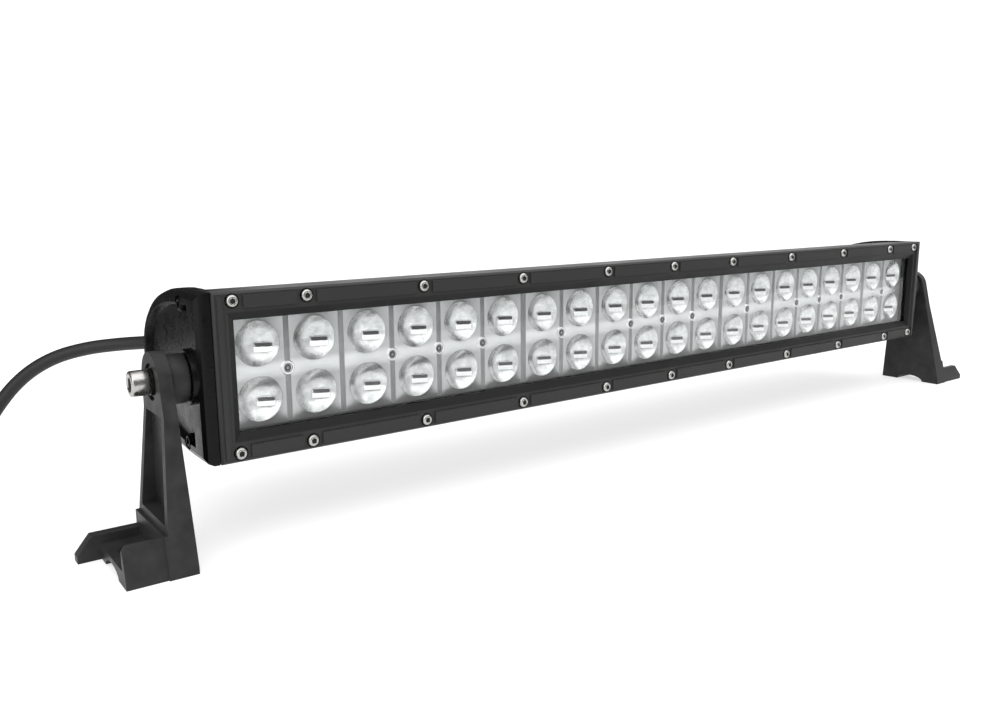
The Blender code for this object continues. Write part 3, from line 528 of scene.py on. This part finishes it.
def add_slot(frames, slot_shade_sheets, ledges, centre, front):
    """An emitter slot: a near-black sheet across it as painted shade, a thin lip above it and a bright
    tilted ledge below, whose extra brightness is a painted highlight.
    """
    share = SLOT_X / BOWL_RADIUS
    slope = atan2(2 * BOWL_DEPTH * share, BOWL_RADIUS)
    surface = front + BOWL_SINK + BOWL_DEPTH * (1 - share ** 2)
    turn = Matrix.Rotation(-slope, 4, "Z")
    place = Matrix.Translation(Vector((centre[0] + SLOT_X, surface, centre[1] - SLOT_DROP))) @ turn
    length, height, lip = SLOT_HALF_LENGTH, SLOT_HALF_HEIGHT, SLOT_LIP
    section = (
        (lip, 0.6), (lip, -1.0), (lip * 0.7, -1.15), (lip * 0.2, -1.15), (0.0, -1.05), (0.0, -0.6),
    )
    rings = []
    for wide, y in section:
        ring = []
        for angle in ring_points(SLOT_STEPS):
            c, s = cos(angle), sin(angle)
            x = (length + wide) * abs(c) ** SLOT_CORNER_POWER * (1 if c > 0 else -1)
            z = (height + wide) * abs(s) ** SLOT_CORNER_POWER * (1 if s > 0 else -1)
            ring.append(frames.verts.new(place @ Vector((x, y * MM, z))))
        rings.append(ring)
    for a, b in zip(rings, rings[1:]):
        for i in range(SLOT_STEPS):
            j = (i + 1) % SLOT_STEPS
            frames.faces.new((a[i], a[j], b[j], b[i]))
    foot = -LEDGE_HEIGHT - 0.3 * MM
    ledge = ((0.0, 0.9), (0.0, -1.0), (-LEDGE_HEIGHT, -1.9), (foot, -1.7), (foot, 0.9))
    ends = []
    for x in (-length - lip * 0.5, length + lip * 0.5):
        outline = [Vector((x, y * MM, z - height - lip * 0.3)) for z, y in ledge]
        ends.append([ledges.verts.new(place @ corner) for corner in outline])
    for i in range(len(ledge)):
        j = (i + 1) % len(ledge)
        ledges.faces.new((ends[0][i], ends[0][j], ends[1][j], ends[1][i]))
    ledges.faces.new(ends[0])
    ledges.faces.new(ends[1])
    corners = ((-length, -height), (length, -height), (length, height), (-length, height))
    # Painted shade: a near-black sheet across the slot
    slot_shade_sheets.faces.new([slot_shade_sheets.verts.new(place @ Vector((x, -SLOT_SHADE_FORWARD, z))) for x, z in corners])


def make_reflectors(chrome_look, plate_look, slot_shade_look, ledge_look, seam_look, steel_look):
    """Four metallised blocks of bowls with their emitter slots, and the screws between them."""
    left = node_box("reflector_module_1")[0].x - CELL_GAP
    first = 0
    for number, columns in enumerate(MODULE_COLUMNS, start=1):
        node = f"reflector_module_{number}"
        low, high = node_box(node)
        front, back = low.y, high.y
        middle_z = (low.z + high.z) / 2
        bm = bmesh.new()
        bowls = bmesh.new()
        frames = bmesh.new()
        slot_shade_sheets = bmesh.new()
        ledges = bmesh.new()
        for column in range(columns):
            x0 = left + (first + column) * LED_PITCH
            x1 = x0 + LED_PITCH
            cell_low = max(x0, low.x)
            cell_high = min(x1, high.x)
            x = (x0 + x1) / 2
            upper = (x, middle_z + LED_ROW_Z)
            lower = (x, middle_z - LED_ROW_Z)
            add_bowl(bm, bowls, (cell_low, middle_z), (cell_high, high.z), upper, front)
            add_bowl(bm, bowls, (cell_low, low.z), (cell_high, middle_z), lower, front)
            add_slot(frames, slot_shade_sheets, ledges, upper, front)
            add_slot(frames, slot_shade_sheets, ledges, lower, front)
        bmesh.ops.remove_doubles(bm, verts=bm.verts[:], dist=0.01 * MM)
        skirt(bm, low, high, back)
        block = new_piece(f"reflector_block_{number}", bm, plate_look)
        new_piece(f"reflector_bowls_{number}", bowls, chrome_look)
        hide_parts(node)
        new_piece(f"emitter_lips_{number}", frames, chrome_look)
        new_piece(f"emitter_slot_shades_{number}", slot_shade_sheets, slot_shade_look)
        new_piece(f"emitter_ledges_{number}", ledges, ledge_look)
        first += columns

    low, high = node_box("reflector_module_1")
    make_seams(left, low, high, seam_look)
    make_reflector_screws(left, low.y, (low.z + high.z) / 2, chrome_look, steel_look)


def make_seams(left, low, high, seam_look):
    """A chamfered post over every joint between two columns of cells."""
    seams = bmesh.new()
    for column in range(1, sum(MODULE_COLUMNS)):
        x = left + column * LED_PITCH
        half = MODULE_SEAM_HALF_WIDTH if column in MODULE_SEAMS else SEAM_HALF_WIDTH
        outline = (
            (-half, 0.6 * MM), (-half, 0.02 * MM), (-half + 0.3 * MM, -0.16 * MM),
            (half - 0.3 * MM, -0.16 * MM), (half, 0.02 * MM), (half, 0.6 * MM),
        )
        lower = [seams.verts.new((x + u, low.y + y, low.z + 0.3 * MM)) for u, y in outline]
        upper = [seams.verts.new((x + u, low.y + y, high.z - 0.3 * MM)) for u, y in outline]
        for i in range(len(outline) - 1):
            seams.faces.new((lower[i], lower[i + 1], upper[i + 1], upper[i]))
        seams.faces.new(lower)
        seams.faces.new(upper)
    new_piece("reflector_seams", seams, seam_look)


def make_reflector_screws(left, front, middle_z, chrome_look, steel_look):
    """Screws between the two rows, each in its raised boss."""
    bosses = bmesh.new()
    screws = bmesh.new()
    for column in REFLECTOR_SCREW_COLUMNS:
        centre = (left + column * LED_PITCH, front, middle_z)
        boss = (
            (3.3 * MM, GROOVE_DEPTH + 0.2 * MM), (3.2 * MM, 0.0), (2.8 * MM, -0.35 * MM),
            (2.1 * MM, -0.35 * MM), (1.9 * MM, -0.1 * MM), (1.9 * MM, 1.0 * MM),
        )
        add_lathe(bosses, boss, "Y", centre, count=28, cap_start=False, cap_end=False)
        profile = (
            (0.0, 0.1 * MM), (0.6 * MM, 0.1 * MM), (0.7 * MM, -0.35 * MM), (1.1 * MM, -0.4 * MM),
            (1.5 * MM, -0.2 * MM), (1.75 * MM, 0.4 * MM),
        )
        add_lathe(screws, profile, "Y", centre, count=20)
    new_piece("reflector_bosses", bosses, chrome_look)
    new_piece("reflector_screws", screws, steel_look)


def skirt(bm, low, high, back):
    """Walls from the block's front edge to its back edge."""
    front = low.y
    corners = [(low.x, low.z), (high.x, low.z), (high.x, high.z), (low.x, high.z)]
    near = [bm.verts.new((x, front + GROOVE_DEPTH, z)) for x, z in corners]
    far = [bm.verts.new((x, back, z)) for x, z in corners]
    for i in range(4):
        j = (i + 1) % 4
        bm.faces.new((near[i], near[j], far[j], far[i]))


def add_button_head(bm, centre, axis, sign, radius, height):
    """Button head with a hexagon socket. The seat is at centre, and the dome faces -sign."""
    out = -sign
    socket = radius * 0.42
    profile = [(0.0, out * height * 0.35), (socket, out * height * 0.35), (socket, out * height * 0.94)]
    profile.append((socket * 1.22, out * height))
    crown = radians(78.0)
    for i in range(7):
        angle = crown * (1 - i / 6)
        rise = 0.25 + 0.75 * sin(angle) / sin(crown)
        profile.append((radius * (1 - 0.44 * (1 - cos(angle))), out * height * rise))
    profile.append((radius, 0.0))
    add_lathe(bm, profile, axis, centre, count=36, hexagonal=(1, 2), cap_end=False)


def add_socket_shade(bm, place, axis, radius):
    """A near-black disc at the bottom of a hexagon socket: painted shade."""
    disc = ((0.0, 0.0), (radius, 0.0))
    add_lathe(bm, disc, axis, place, count=36, hexagonal=(1,), cap_end=False)


def make_bezel_screws(steel_look, shade_look):
    """One detailed head for every bezel screw, each standing for its CAD node."""
    sockets = bmesh.new()
    shank = ((SCREW_SHANK_RADIUS, 0.0), (SCREW_SHANK_RADIUS, 9.0 * MM), (1.0 * MM, 10.0 * MM))
    for number in range(1, BEZEL_SCREW_COUNT + 1):
        node = f"bezel_screw_{number:02d}"
        low, high = node_box(node)
        centre = (low + high) / 2
        seat = Vector((centre.x, low.y + BEZEL_HEAD_HEIGHT, centre.z))
        bm = bmesh.new()
        radius = (high.x - low.x) / 2
        add_button_head(bm, seat, "Y", 1, radius, BEZEL_HEAD_HEIGHT)
        # Painted shade: a near-black disc down in the socket
        add_socket_shade(sockets, seat - Vector((0.0, 1.55 * MM, 0.0)), "Y", radius * 0.41)
        add_lathe(bm, shank, "Y", seat, count=16)
        screw = new_piece(f"bezel_screw_head_{number:02d}", bm, steel_look)
        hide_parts(node)
    new_piece("bezel_screw_socket_shades", sockets, shade_look)


def make_cap_screws(dark_look):
    """Black button head screws that hold the end caps, each standing for its CAD node."""
    for label, side in (("left", -1), ("right", 1)):
        for number in (1, 2, 3):
            node = f"cap_screw_{label}_{number}"
            low, high = node_box(node)
            centre = (low + high) / 2
            outer = low.x if side < 0 else high.x
            seat = Vector((outer - side * CAP_HEAD_HEIGHT, centre.y, centre.z))
            bm = bmesh.new()
            add_button_head(bm, seat, "X", -side, (high.z - low.z) / 2, CAP_HEAD_HEIGHT)
            shank = (
                (SCREW_SHANK_RADIUS, 0.0), (SCREW_SHANK_RADIUS, -side * 9.0 * MM),
                (1.0 * MM, -side * 10.0 * MM),
            )
            add_lathe(bm, shank, "X", seat, count=16)
            screw = new_piece(f"cap_screw_head_{label}_{number}", bm, dark_look)
            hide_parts(node)


def make_pivots(steel_look, dark_look, rubber_look, shade_look):
    """Socket head bolt, split washer, flat washer and spacer at each pivot."""
    for label, side in (("left", -1), ("right", 1)):
        node = f"pivot_bolt_{label}"
        low, high = node_box(node)
        radius = (high.z - low.z) / 2
        centre = Vector((0.0, (low.y + high.y) / 2, (low.z + high.z) / 2))
        tip = low.x if side < 0 else high.x
        inner = high.x if side < 0 else low.x
        head = BOLT_HEAD_HEIGHT
        bm = bmesh.new()
        profile = [
            (0.0, tip - side * 3.4 * MM), (2.45 * MM, tip - side * 3.4 * MM),
            (2.5 * MM, tip - side * 0.3 * MM), (3.1 * MM, tip), (radius - 0.75 * MM, tip),
            (radius - 0.3 * MM, tip - side * 0.12 * MM),
            (radius - 0.06 * MM, tip - side * 0.45 * MM), (radius, tip - side * 0.9 * MM),
            (radius, tip - side * (head - 0.5 * MM)), (radius - 0.15 * MM, tip - side * (head - 0.1 * MM)),
            (radius - 0.4 * MM, tip - side * head), (BOLT_SHANK_RADIUS, tip - side * head),
            (BOLT_SHANK_RADIUS, inner + side * 0.8 * MM), (2.3 * MM, inner),
        ]
        add_lathe(bm, profile, "X", centre, count=TURNED_STEPS, hexagonal=(1, 2))
        socket = bmesh.new()
        # Painted shade: a near-black disc down in the socket
        add_socket_shade(socket, centre + Vector((tip - side * 0.9 * MM, 0.0, 0.0)), "X", 2.42 * MM)
        new_piece(f"pivot_bolt_socket_shade_{label}", socket, shade_look)
        bolt = new_piece(f"pivot_bolt_head_{label}", bm, steel_look)
        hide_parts(node)

        node = f"spring_washer_{label}"
        low, high = node_box(node)
        bm = bmesh.new()
        outer = (high.z - low.z) / 2
        rings = []
        steps = 44
        for i in range(steps + 1):
            angle = radians(12.0) + radians(340.0) * i / steps
            shift = 0.12 * MM * (i / steps - 0.5)
            ring = []
            section = ((WASHER_BORE, low.x), (outer, low.x), (outer, high.x), (WASHER_BORE, high.x))
            for reach, x in section:
                place = (x + shift * 0.8, centre.y + reach * cos(angle), centre.z + reach * sin(angle))
                ring.append(bm.verts.new(place))
            rings.append(ring)
        for a, b in zip(rings, rings[1:]):
            for i in range(4):
                j = (i + 1) % 4
                bm.faces.new((a[i], a[j], b[j], b[i]))
        bm.faces.new(rings[0])
        bm.faces.new(rings[-1])
        washer = new_piece(f"split_washer_{label}", bm, dark_look)
        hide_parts(node)

        node = f"flat_washer_{label}"
        low, high = node_box(node)
        bm = bmesh.new()
        outer = (high.z - low.z) / 2
        edge = 0.15 * MM
        profile = (
            (WASHER_BORE, low.x), (outer - edge, low.x), (outer, low.x + edge), (outer, high.x - edge),
            (outer - edge, high.x), (WASHER_BORE, high.x),
        )
        rings = add_lathe(bm, profile, "X", centre, count=TURNED_STEPS, cap_start=False, cap_end=False)
        close_ring(bm, rings)
        washer = new_piece(f"plain_washer_{label}", bm, dark_look)
        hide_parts(node)

        node = f"pivot_spacer_{label}"
        low, high = node_box(node)
        bm = bmesh.new()
        outer = (high.z - low.z) / 2
        edge = 0.8 * MM
        profile = (
            (SPACER_BORE, low.x), (outer - edge, low.x), (outer - edge * 0.3, low.x + edge * 0.3),
            (outer, low.x + edge), (outer, high.x - edge), (outer - edge * 0.3, high.x - edge * 0.3),
            (outer - edge, high.x), (SPACER_BORE, high.x),
        )
        rings = add_lathe(bm, profile, "X", centre, count=TURNED_STEPS, cap_start=False, cap_end=False)
        close_ring(bm, rings)
        spacer = new_piece(f"pivot_bush_{label}", bm, rubber_look)
        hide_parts(node)


def make_cord(rubber_look, plastic_look):
    """Rubber cord, its strain relief and gland, and the plug on its end."""
    curve = bpy.data.curves.new("power_lead", "CURVE")
    curve.dimensions = "3D"
    curve.bevel_depth = CORD_DIAMETER / 2
    curve.bevel_resolution = 6
    curve.use_fill_caps = True
    points = smooth_route(CORD_POINTS)
    spline = curve.splines.new("POLY")
    spline.points.add(len(points) - 1)
    for spot, place in zip(spline.points, points):
        spot.co = (*place, 1.0)
    spline.use_smooth = True
    cord = bpy.data.objects.new("power_lead", curve)
    bpy.context.scene.collection.objects.link(cord)
    curve.materials.append(rubber_look)
    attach(cord, "lamp")
    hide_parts("power_cord")

    low, high = node_box("strain_relief")
    centre = (low + high) / 2
    bm = bmesh.new()
    length = high.y - low.y
    thick, thin = (high.z - low.z) / 2, 4.2 * MM
    profile = [(thick - 0.4 * MM, low.y), (thick, low.y + 0.5 * MM), (thick, low.y + 3.5 * MM)]
    ribs = 7
    for i in range(ribs):
        share = (i + 0.3) / ribs
        y = low.y + 4.0 * MM + (length - 5.0 * MM) * share
        radius = thick + (thin - thick) * share
        gap = (length - 5.0 * MM) / ribs
        profile += [
            (radius, y), (radius - 0.85 * MM, y + gap * 0.12), (radius - 0.9 * MM, y + gap * 0.38),
            (radius - 0.15 * MM, y + gap * 0.5),
        ]
    profile += [(thin, high.y - 0.6 * MM), (thin - 0.5 * MM, high.y)]
    add_lathe(bm, profile, "Y", (centre.x, 0, centre.z), count=32)
    relief = new_piece("flex_relief", bm, rubber_look, smooth=50.0)
    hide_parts("strain_relief")

    low, high = node_box("gland_nut")
    centre = (low + high) / 2
    start, half = low.y, 8.6 * MM
    bm = bmesh.new()
    profile = (
        (6.2 * MM, start), (half - 0.4 * MM, start), (half, start + 0.4 * MM), (half, start + 5.4 * MM),
        (half - 0.3 * MM, start + 6.0 * MM), (7.6 * MM, start + 7.4 * MM), (6.9 * MM, high.y - 0.5 * MM),
        (6.2 * MM, high.y),
    )
    add_lathe(bm, profile, "Y", (centre.x, 0, centre.z), count=60, hexagonal=(2, 3))
    nut = new_piece("gland_dome_nut", bm, plastic_look)
    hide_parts("gland_nut")

    low, high = node_box("gland_body")
    flange = low.y + 4.8 * MM
    half = 9.0 * MM
    bm = bmesh.new()
    profile = (
        (5.4 * MM, low.y), (5.4 * MM, flange), (half - 0.3 * MM, flange), (half, flange + 0.4 * MM),
        (half, high.y - 1.5 * MM), (half - 0.4 * MM, high.y - 1.05 * MM), (7.4 * MM, high.y - 1.0 * MM),
        (7.4 * MM, high.y),
    )
    add_lathe(bm, profile, "Y", (centre.x, 0, centre.z), count=60, hexagonal=(3, 4))
    gland = new_piece("gland_hex_body", bm, plastic_look)
    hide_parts("gland_body")

    plug = make_plug(plastic_look)


def make_plug(plastic_look):
    """Two-pin waterproof plug: boot, ribbed body and a hollow end, along the cord's last stretch."""
    tip, before = CORD_POINTS[-1], CORD_POINTS[-2]
    heading = tip - before
    heading.z = 0.0
    heading.normalize()
    across = Vector((heading.y, -heading.x, 0.0))
    wide, high, length = 7.3 * MM, 5.6 * MM, 29.7 * MM
    bm = bmesh.new()

    def ring_at(along, half_wide, half_high, square):
        ring = []
        for angle in ring_points(32):
            c, s = cos(angle), sin(angle)
            reach = 1.0 / (abs(c) ** square + abs(s) ** square) ** (1.0 / square)
            place = tip + heading * along + across * (half_wide * reach * c)
            ring.append(bm.verts.new(place + Vector((0.0, 0.0, half_high * reach * s))))
        return ring

    sections = [(0.3, 4.1, 4.1, 2.0), (1.2, 4.4, 4.4, 2.0), (3.0, 4.0, 4.0, 2.0), (3.6, 4.6, 4.5, 2.0),
                (5.4, 4.2, 4.2, 2.0), (6.0, 4.9, 4.7, 2.2), (7.8, 5.0, 4.8, 2.4)]
    rings = [ring_at(a * MM, w * MM, h * MM, p) for a, w, h, p in sections]
    rings.append(ring_at(8.2 * MM, wide - 0.5 * MM, high - 0.5 * MM, 5.0))
    rings.append(ring_at(8.7 * MM, wide, high, 5.0))
    for i in range(5):
        start = 11.0 * MM + i * 2.0 * MM
        rings.append(ring_at(start, wide, high, 5.0))
        rings.append(ring_at(start + 0.3 * MM, wide - 0.5 * MM, high - 0.4 * MM, 5.0))
        rings.append(ring_at(start + 1.0 * MM, wide - 0.5 * MM, high - 0.4 * MM, 5.0))
        rings.append(ring_at(start + 1.3 * MM, wide, high, 5.0))
    rings.append(ring_at(length - 0.8 * MM, wide, high, 5.0))
    rings.append(ring_at(length, wide - 0.7 * MM, high - 0.7 * MM, 5.0))
    rings.append(ring_at(length, wide - 2.0 * MM, high - 1.9 * MM, 4.0))
    rings.append(ring_at(length - 5.0 * MM, wide - 2.0 * MM, high - 1.9 * MM, 4.0))
    for a, b in zip(rings, rings[1:]):
        for i in range(32):
            j = (i + 1) % 32
            bm.faces.new((a[i], a[j], b[j], b[i]))
    bm.faces.new(rings[0])
    bm.faces.new(rings[-1])
    plug = new_piece("lead_connector", bm, plastic_look)
    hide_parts("connector")
    return plug


def smooth_route(points):
    """Close points on a Catmull-Rom curve through the given points."""
    knots = [Vector(p) for p in points]
    knots = [2 * knots[0] - knots[1]] + knots + [2 * knots[-1] - knots[-2]]
    fine = []
    for a, b, c, d in zip(knots, knots[1:], knots[2:], knots[3:]):
        for i in range(5):
            t = i / 5
            fine.append(0.5 * (2 * b + (c - a) * t + (2 * a - 5 * b + 4 * c - d) * t * t
                               + (3 * b - a - 3 * c + d) * t ** 3))
    fine.append(knots[-2])
    return fine


def make_vent(plastic_look):
    """Stepped breather plug in the end cap."""
    low, high = node_box("vent_plug")
    centre = (low + high) / 2
    radius = (high.z - low.z) / 2
    base = low.x
    bm = bmesh.new()
    profile = (
        (radius, base), (radius, base + 1.0 * MM), (radius - 0.25 * MM, base + 1.3 * MM),
        (radius - 0.35 * MM, base + 2.6 * MM), (radius - 0.9 * MM, high.x - 0.15 * MM),
        (radius - 1.4 * MM, high.x), (1.9 * MM, high.x), (1.6 * MM, high.x - 0.5 * MM),
        (0.0, high.x - 0.5 * MM),
    )
    add_lathe(bm, profile, "X", (0, centre.y, centre.z), count=36)
    vent = new_piece("pressure_vent", bm, plastic_look)
    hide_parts("vent_plug")


# ------------------------------------------------------------ CAD nodes' looks

def dress(node, material, bevel=0.0, segments=2, angle=30.0):
    """Give a CAD node its material, and soft edges where bevel is set."""
    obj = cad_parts[node]
    obj.data.materials.clear()
    obj.data.materials.append(material)
    if bevel:
        soften(obj, bevel, segments, angle)


def dress_nodes(coat, cast, cap_coat, bezel_coat, gasket, white_board, green_board, glass, wire):
    dress("housing", coat, 0.25 * MM)
    dress("bezel", bezel_coat, 0.35 * MM, 3)
    dress("lens", glass)
    for label in ("left", "right"):
        dress(f"end_cap_{label}", cap_coat, 0.5 * MM, 3)
        dress(f"cap_gasket_{label}", gasket)
        dress(f"mounting_bracket_{label}", cast, 0.45 * MM, 3)
    dress("lens_gasket", gasket)
    dress("led_board_upper", white_board)
    dress("led_board_lower", white_board)
    dress("driver_board", green_board)
    dress("supply_lead", wire)


# ----------------------------------------------------------------------- stage

def stage_material(name, colour, roughness):
    material, tree, shader = start_material(name, colour, roughness)
    mottle = noise(tree, 3.0, 2.0)
    tree.links.new(spread(tree, mottle, roughness - 0.03, roughness + 0.03), shader.inputs["Roughness"])
    return material


def make_stage():
    """White floor that sweeps up into a white backdrop."""
    bm = bmesh.new()
    outline = [(-6.0, 0.0), (5.0, 0.0)]
    for i in range(1, 9):
        angle = pi / 2 * i / 8
        outline.append((5.0 + 2.0 * sin(angle), 2.0 - 2.0 * cos(angle)))
    outline.append((7.0, 9.0))
    rows = [[bm.verts.new((x, y, z)) for x in (-12.0, 16.0)] for y, z in outline]
    for a, b in zip(rows, rows[1:]):
        bm.faces.new((a[0], a[1], b[1], b[0]))
    mesh = bpy.data.meshes.new("studio_floor")
    bm.to_mesh(mesh)
    bm.free()
    mesh.shade_smooth()
    floor = bpy.data.objects.new("studio_floor", mesh)
    bpy.context.scene.collection.objects.link(floor)
    look = stage_material("studio_white", (0.5, 0.5, 0.5), 0.9)
    shader = look.node_tree.nodes["Principled BSDF"]
    shader.inputs["Emission Color"].default_value = (1.0, 1.0, 1.0, 1.0)
    shader.inputs["Emission Strength"].default_value = 0.60
    shader.inputs["Specular IOR Level"].default_value = 0.0
    floor.data.materials.append(look)


def make_flag(name, centre, width, height, tone):
    """A studio flag: out of sight, it only darkens what the lamp's gloss reflects."""
    bm = bmesh.new()
    corners = ((-1, -1), (1, -1), (1, 1), (-1, 1))
    bm.faces.new([bm.verts.new((sx * width / 2, 0.0, sz * height / 2)) for sx, sz in corners])
    mesh = bpy.data.meshes.new(name)
    bm.to_mesh(mesh)
    bm.free()
    card = bpy.data.objects.new(name, mesh)
    bpy.context.scene.collection.objects.link(card)
    card.location = centre
    card.data.materials.append(stage_material(f"{name}_cloth", (tone, tone, tone), 0.9))
    card.visible_camera = False
    card.visible_diffuse = False
    card.visible_transmission = False
    card.visible_shadow = False


def area_light(name, place, target, size, energy):
    light = bpy.data.lights.new(name, "AREA")
    light.shape = "RECTANGLE"
    light.size, light.size_y = size
    light.energy = energy
    obj = bpy.data.objects.new(name, light)
    bpy.context.scene.collection.objects.link(obj)
    obj.location = place
    aim = Vector(target) - Vector(place)
    obj.rotation_euler = aim.to_track_quat("-Z", "Y").to_euler()


def make_lights():
    """An even white surround with two soft boxes."""
    world = bpy.data.worlds.new("studio")
    world.use_nodes = True
    background = world.node_tree.nodes["Background"]
    background.inputs["Color"].default_value = (1.0, 1.0, 1.0, 1.0)
    background.inputs["Strength"].default_value = 1.0
    bpy.context.scene.world = world
    area_light("overhead_softbox", (0.1, -0.5, 1.6), (0.0, 0.0, 0.05), (2.8, 1.7), 17.0)
    area_light("left_softbox", (-1.5, -0.7, 0.9), (-0.1, 0.0, 0.05), (0.9, 1.2), 6.0)


def make_camera():
    """The photograph's view, shown without a tone curve."""
    yaw, pitch, roll = radians(CAMERA_YAW), radians(CAMERA_PITCH), radians(CAMERA_ROLL)
    forward = Vector((sin(yaw) * cos(pitch), cos(yaw) * cos(pitch), -sin(pitch)))
    level = Vector((cos(yaw), -sin(yaw), 0.0))
    upright = level.cross(forward)
    right = cos(roll) * level + sin(roll) * upright
    up = -sin(roll) * level + cos(roll) * upright
    data = bpy.data.cameras.new("camera")
    data.sensor_width = 36.0
    data.lens = CAMERA_LENS
    data.clip_start = 0.01
    camera = bpy.data.objects.new("camera", data)
    bpy.context.scene.collection.objects.link(camera)
    turn = Matrix((right, up, -forward)).transposed()
    camera.matrix_world = Matrix.Translation(Vector(CAMERA_PLACE)) @ turn.to_4x4()
    bpy.context.scene.camera = camera
    bpy.context.scene.view_settings.view_transform = "Standard"


# ------------------------------------------------------------------------ main

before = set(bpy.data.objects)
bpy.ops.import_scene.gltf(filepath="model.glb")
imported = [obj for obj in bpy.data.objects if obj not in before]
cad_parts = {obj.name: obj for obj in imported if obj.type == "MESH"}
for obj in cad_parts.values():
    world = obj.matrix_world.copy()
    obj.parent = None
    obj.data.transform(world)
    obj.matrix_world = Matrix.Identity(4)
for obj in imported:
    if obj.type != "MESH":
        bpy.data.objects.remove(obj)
smooth_shading = shading_group()
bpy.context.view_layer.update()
make_camera()

coat = powder_coat("black_coat", (0.017, 0.017, 0.0175), (0.028, 0.028, 0.0285), 1.0, 0.46)
bezel_coat = bezel_powder()
cast = cast_black()
cap_coat = cap_black()
steel = stainless()
dark = dark_steel("dark_steel", (0.030, 0.029, 0.028), 0.40)
black_oxide = dark_steel("black_oxide", (0.008, 0.008, 0.008), 0.45)
shade = rubber("socket_shade", (0.010, 0.010, 0.010), 0.80, 900.0)
bush = rubber("black_bush", (0.012, 0.012, 0.012), 0.55, 700.0)
lead_rubber = rubber("cord_rubber", (0.010, 0.010, 0.010), 0.48, 900.0)
gasket = rubber("gasket_rubber", (0.020, 0.020, 0.020), 0.75, 800.0)
plastic = rubber("black_plastic", (0.012, 0.012, 0.013), 0.42, 1200.0)
white_board = board("board_white", (0.86, 0.87, 0.86), (0.80, 0.80, 0.78))
green_board = board("board_green", (0.03, 0.16, 0.07), (0.05, 0.24, 0.11))

make_cord(lead_rubber, plastic)
make_reflectors(chrome(), plate_with_painted_reflection(), slot_painted_shade(), ledge_chrome_painted_highlight(), seam_grey_painted_reflection(), dark)
make_bezel_screws(steel, shade)
make_cap_screws(black_oxide)
make_pivots(steel, dark, bush, shade)
make_vent(plastic)
dress_nodes(coat, cast, cap_coat, bezel_coat, gasket, white_board, green_board, clear_lens(), lead_rubber)
make_stage()
make_flag("front_flag", (0.35, -0.42, 0.18), 1.5, 0.34, 0.20)
make_flag("back_flag", (-0.82, 0.45, 0.45), 1.50, 0.90, 0.02)
make_lights()
